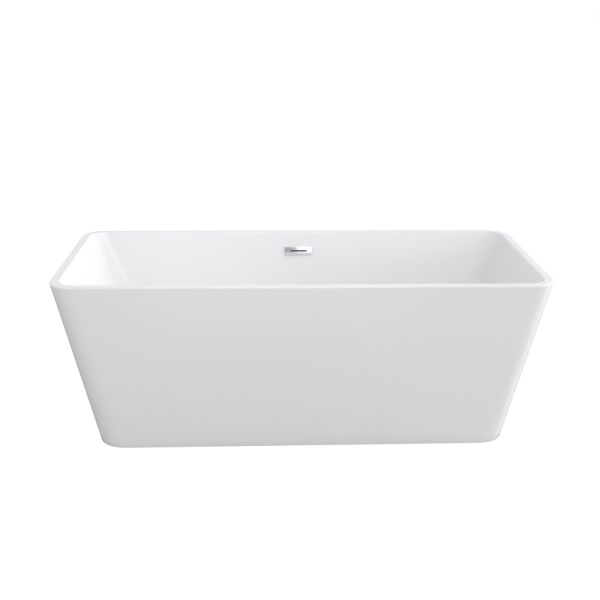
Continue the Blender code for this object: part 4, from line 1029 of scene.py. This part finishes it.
def make_foot(name):
    """A pad with grip grooves, a threaded stud with its hexagon, and the nut in the frame."""
    x, y, pad_low, pad_high = middle_of(f"foot_pad_{name}")
    nut_low, nut_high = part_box(f"foot_nut_{name}")
    stud_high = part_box(f"foot_stud_{name}")[1]
    at = Matrix.Translation((x, y, 0))
    radius = (pad_high.x - pad_low.x) / 2
    pad = [(0, 0)]
    for groove in (0.006, 0.010, 0.014, 0.018):
        pad += [(groove - 0.0008, 0), (groove - 0.0005, 0.0005), (groove + 0.0005, 0.0005),
                (groove + 0.0008, 0)]
    pad += arc((radius - 0.001, 0.001), 0.001, -90, 0, 4) + arc((radius - 0.0012, 0.0042), 0.0012, 0, 70, 4)
    pad += [(0.0135, 0.0082), (0.0124, 0.0092), (0.012, 0.0105), (0.012, pad_high.z - 0.0006),
            (0.0114, pad_high.z), (0.0070, pad_high.z)]
    socket = BALL_RADIUS + 2 * GAP
    for degrees in (36, 20, 0, -25, -50, -70, -90):
        pad.append((socket * cos(radians(degrees)), BALL_HEIGHT + socket * sin(radians(degrees))))
    settle(turned(f"swivel_pad_{name}", pad, black_plastic, sides=72, at=at), f"foot_{name}", "black_plastic",
           f"foot_pad_{name}")

    ball = arc((0, BALL_HEIGHT), BALL_RADIUS, -90, 48, 16) + [(0.005, 0.0165), (0.005, 0.0205), (0, 0.0205)]
    count = round((stud_high.z - THREAD_BOTTOM) / PITCH * RINGS_PER_TURN)
    rings = [thread_ring(blend_values(THREAD_BOTTOM, stud_high.z, i / count), THREAD_DEPTH)
             for i in range(count + 1)]
    rings[-1] = [Vector((point.x * 0.86, point.y * 0.86, point.z)) for point in rings[-1]]
    for piece in (turned(f"stud_ball_{name}", ball, plated_fastener, sides=48, at=at),
                  hexagon_piece(f"stud_hexagon_{name}", HEXAGON_ACROSS, HEXAGON_BOTTOM, HEXAGON_TOP, 0,
                                plated_fastener, at),
                  skin(f"stud_thread_{name}", rings, [plated_fastener], at=at, smooth_angle=60)):
        settle(piece, f"stud_{name}", "zinc_fastener", f"foot_stud_{name}")
    settle(hexagon_piece(f"frame_nut_{name}", nut_high.y - nut_low.y, nut_low.z, nut_high.z,
                         STUD_RADIUS + GAP, plated_fastener, at), "tub", "zinc_fastener", f"foot_nut_{name}")
    return x, y


for foot in (*CORNERS, "middle"):
    print("foot", foot, "at", tuple(round(v, 4) for v in make_foot(foot)))

# %% [markdown]
# ## Screws and bolts of the frame
#
# Four bolts hold the skirt's brackets to the cross rails and four screws hold the rails to the
# board. Their heads show from below, so those are made in full: a hexagon over a pressed washer,
# and a pan head with a cross recess.

# %% Bracket bolts, board screws and overflow screws
def make_bolt(name):
    """Hexagon head with a pressed washer and a plain shank with a chamfered end."""
    x, y, low, high = middle_of(f"bracket_bolt_{name}")
    at = Matrix.Translation((x, y, 0))
    seat = high.z - 0.004
    head = hexagon_piece(f"bolt_head_{name}", high.y - low.y, seat + 0.0008, high.z, 0, plated_fastener, at)
    shank = [(0, low.z), (0.0023, low.z), (0.003, low.z + 0.0007), (0.003, seat), (0.0054, seat),
             (0.0054, seat + 0.0006), (0.0050, seat + 0.0010), (0, seat + 0.0010)]
    cut(head, turned("shank", shank, plated_fastener, sides=36, at=at), "UNION")
    settle(head, "tub", "zinc_fastener", f"bracket_bolt_{name}")


def pan_head(name, radius, rise, shank, length, at):
    """A pan-head screw along -Z from its seat at the origin, with a cross recess in its head."""
    profile = [(0, rise), (0.45 * radius, 0.97 * rise), (0.72 * radius, 0.82 * rise),
               (0.92 * radius, 0.5 * rise), (radius, 0.2 * rise), (radius, 0), (shank, 0),
               (shank, -length + 2 * shank), (0, -length)]
    screw = turned(name, profile, plated_fastener, sides=40, at=at)
    for turns in range(2):
        wide, slim = (0.55 * radius, 0.12 * radius) if turns else (0.12 * radius, 0.55 * radius)
        arm = skin("recess", [small_rectangle(2 * wide * scale, 2 * slim * scale, 0.05 * radius, z, 2)
                              for scale, z in ((0.55, 0.25 * rise), (1.1, 1.2 * rise))],
                   [plated_fastener], at=at)
        cut(screw, arm)
    return screw


SCREW_HEAD_RISE = 0.003
OVERFLOW_FRAME = 0.0027        # thickness of the frame that the cover clips to
for corner_name in CORNERS:
    make_bolt(corner_name)
    x, y, low, high = middle_of(f"board_screw_{corner_name}")
    at = Matrix.Translation((x, y, low.z + SCREW_HEAD_RISE)) @ Matrix.Rotation(pi, 4, "X")
    screw = pan_head(f"rail_screw_{corner_name}", 0.0055, SCREW_HEAD_RISE, 0.0025,
                     high.z - low.z - SCREW_HEAD_RISE, at)
    settle(screw, "tub", "zinc_fastener", f"board_screw_{corner_name}")
for hand, x in (("left", -SCREW_APART), ("right", SCREW_APART)):
    at = overflow_place @ Matrix.Translation((x, 0, OVERFLOW_FRAME + 2 * GAP))
    settle(pan_head(f"cover_screw_{hand}", 0.004, 0.002, 0.002, 0.018, at), "tub", "zinc_fastener",
           f"overflow_screw_{hand}")

# %% [markdown]
# ## Board, rails, brackets and seals
#
# These frame pieces already have the right shapes. They keep their solids and get their finishes,
# and a bevel breaks the edges that a saw or a press would leave slightly soft.

# %% Finish the pieces that stay
def dress(node, finish_here, edge=0.0):
    """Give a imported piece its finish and, if asked, softened edges."""
    piece = nodes[node]
    piece.data.materials.clear()
    piece.data.materials.append(finish_here)
    if edge:
        soft = piece.modifiers.new("soft_edges", "BEVEL")
        soft.width = edge
        soft.segments = 2
        soft.limit_method = "ANGLE"
        soft.angle_limit = radians(60)
    return piece


dress("base_board", plywood, 0.0008)
dress("bond_bead", adhesive)
for rail in ("long_rail_front", "long_rail_back", "cross_rail_left", "cross_rail_middle",
             "cross_rail_right"):
    dress(rail, dipped_steel, 0.0006)
for corner_name in CORNERS:
    dress(f"skirt_bracket_{corner_name}", dipped_steel, 0.0005)
    dress(f"rail_cap_{corner_name}", black_plastic, 0.0005)
dress("overflow_body", grey_plastic, 0.0004)
dress("overflow_frame", grey_plastic, 0.0003)
dress("overflow_gasket", black_rubber, 0.0004)
print("dressed pieces:", sum(1 for n in nodes.values() if n.modifiers))

# %% [markdown]
# ## Light and floor
#
# White gloss on white needs light that falls off across each face, or the tub would vanish. A
# distant key light, low on the right and just behind the line of the back wall, rakes along the
# basin: it fills the left end and leaves the back wall to the light that the left end returns.
# Two narrow lights from above the front rim lift the left half of the back wall and its foot on
# the right. The pale room does the rest. It is a little brighter to the front and the back than
# to the sides, and a dark patch beside a light one, behind the camera, gives the chrome a grade.

# %% A pale room
def make_room():
    """White where the camera looks; for the light it gives, a gradient with two patches."""
    world = bpy.data.worlds.new("pale_room")
    bpy.context.scene.world = world
    world.use_nodes = True
    tree = world.node_tree
    tree.nodes.clear()
    direction = place(tree, "ShaderNodeTexCoord").outputs["Generated"]
    parts = place(tree, "ShaderNodeSeparateXYZ", {"Vector": direction})
    side, depth, rise = parts.outputs["X"], parts.outputs["Y"], parts.outputs["Z"]

    def ramp(value, low, high, start, end):
        return place(tree, "ShaderNodeMapRange", {"Value": value, "From Min": low, "From Max": high,
                                                  "To Min": start, "To Max": end},
                     interpolation_type="SMOOTHSTEP").outputs["Result"]

    def combine(first, second, operation):
        return place(tree, "ShaderNodeMath", {0: first, 1: second}, operation=operation).outputs[0]

    height = ramp(rise, -0.3, 1.0, *ROOM_RISE)
    front = ramp(depth, 0.0, -1.0, 0.0, ROOM_FRONT)
    rear = ramp(depth, 0.0, 1.0, 0.0, ROOM_REAR)
    level = combine(combine(height, front, "ADD"), rear, "ADD")
    behind = combine(ramp(depth, -0.93, -0.97, 0.0, 1.0), ramp(rise, 0.30, 0.22, 0.0, 1.0),
                     "MULTIPLY")
    shade = combine(ramp(side, 0.03, -0.06, 0.0, DARK_PATCH), behind, "MULTIPLY")
    glint = combine(ramp(side, 0.0, 0.06, 0.0, LIGHT_PATCH), behind, "MULTIPLY")
    level = combine(combine(level, shade, "SUBTRACT"), glint, "ADD")
    shown = place(tree, "ShaderNodeBackground", {"Color": (1, 1, 1, 1), "Strength": 1.0})
    given = place(tree, "ShaderNodeBackground", {"Color": ROOM_TINT, "Strength": level})
    rays = place(tree, "ShaderNodeLightPath")
    mixed = place(tree, "ShaderNodeMixShader", {0: rays.outputs["Is Camera Ray"], 1: given.outputs[0],
                                                2: shown.outputs[0]})
    place(tree, "ShaderNodeOutputWorld", {"Surface": mixed.outputs[0]})


ROOM_RISE = (0.56, 0.57)       # at the horizon and overhead
ROOM_FRONT, ROOM_REAR = 0.21, 0.40
ROOM_TINT = (0.982, 0.976, 1.0, 1)
DARK_PATCH, LIGHT_PATCH = 0.30, 0.80
make_room()
print("room:", ROOM_RISE, "front and rear", ROOM_FRONT, ROOM_REAR)


# %% A plain floor
def make_floor():
    """A plain pale floor that stays white for the camera and takes only a breath of shadow."""
    bm = bmesh.new()
    bmesh.ops.create_circle(bm, cap_ends=True, segments=64, radius=30)
    made, tree, shader = finish("pale_floor", roughness=0.6, colour=(0.43, 0.43, 0.43))
    glow = place(tree, "ShaderNodeEmission", {"Color": (1, 1, 1, 1), "Strength": 0.85})
    dim = place(tree, "ShaderNodeBsdfDiffuse", {"Color": (0.30, 0.30, 0.30, 1)})
    both = place(tree, "ShaderNodeAddShader", {0: glow.outputs[0], 1: dim.outputs[0]})
    rays = place(tree, "ShaderNodeLightPath")
    mixed = place(tree, "ShaderNodeMixShader", {0: rays.outputs["Is Camera Ray"], 1: shader.outputs[0],
                                                2: both.outputs[0]})
    tree.links.new(mixed.outputs[0], tree.nodes["Material Output"].inputs["Surface"])
    floor = add_mesh("floor", bm, [made])
    return floor


studio_floor = make_floor()
print("floor:", tuple(round(v) for v in studio_floor.dimensions[:2]), "m across")


# %% Soft panels
def add_panel(name, place_at, aim_at, width, height, power, spread=180):
    """A soft rectangular light that isn't seen itself; a small spread keeps it to its target."""
    data = bpy.data.lights.new(name, "AREA")
    data.shape = "RECTANGLE"
    data.size, data.size_y = width, height
    data.energy, data.spread = power, radians(spread)
    panel = bpy.data.objects.new(name, data)
    panel.location = place_at
    panel.rotation_euler = (Vector(aim_at) - Vector(place_at)).to_track_quat("-Z", "Y").to_euler()
    panel.visible_camera = False
    bpy.context.scene.collection.objects.link(panel)
    return panel


add_panel("key_light", (5.6, 0.7, 1.65), (-0.6, 0.0, 0.4), 1.8, 1.6, 172)
add_panel("front_light", (1.2, -4.2, 3.6), (-0.4, 0.2, 0.4), 3.6, 2.0, 52)
add_panel("inside_light", (0.2, -2.6, 3.0), (-0.42, 0.37, 0.34), 0.5, 0.5, 0.22, 18)
add_panel("low_light", (-0.9, -2.2, 3.2), (0.42, 0.25, 0.12), 0.5, 0.5, 0.09, 10)
add_panel("strip_left", (-3.4, -2.9, 1.1), (-0.7, -0.4, 0.4), 0.5, 2.0, 15)
add_panel("strip_right", (3.4, -2.9, 1.1), (0.7, -0.4, 0.4), 0.5, 2.0, 8)
bpy.context.scene.view_settings.view_transform = "Standard"
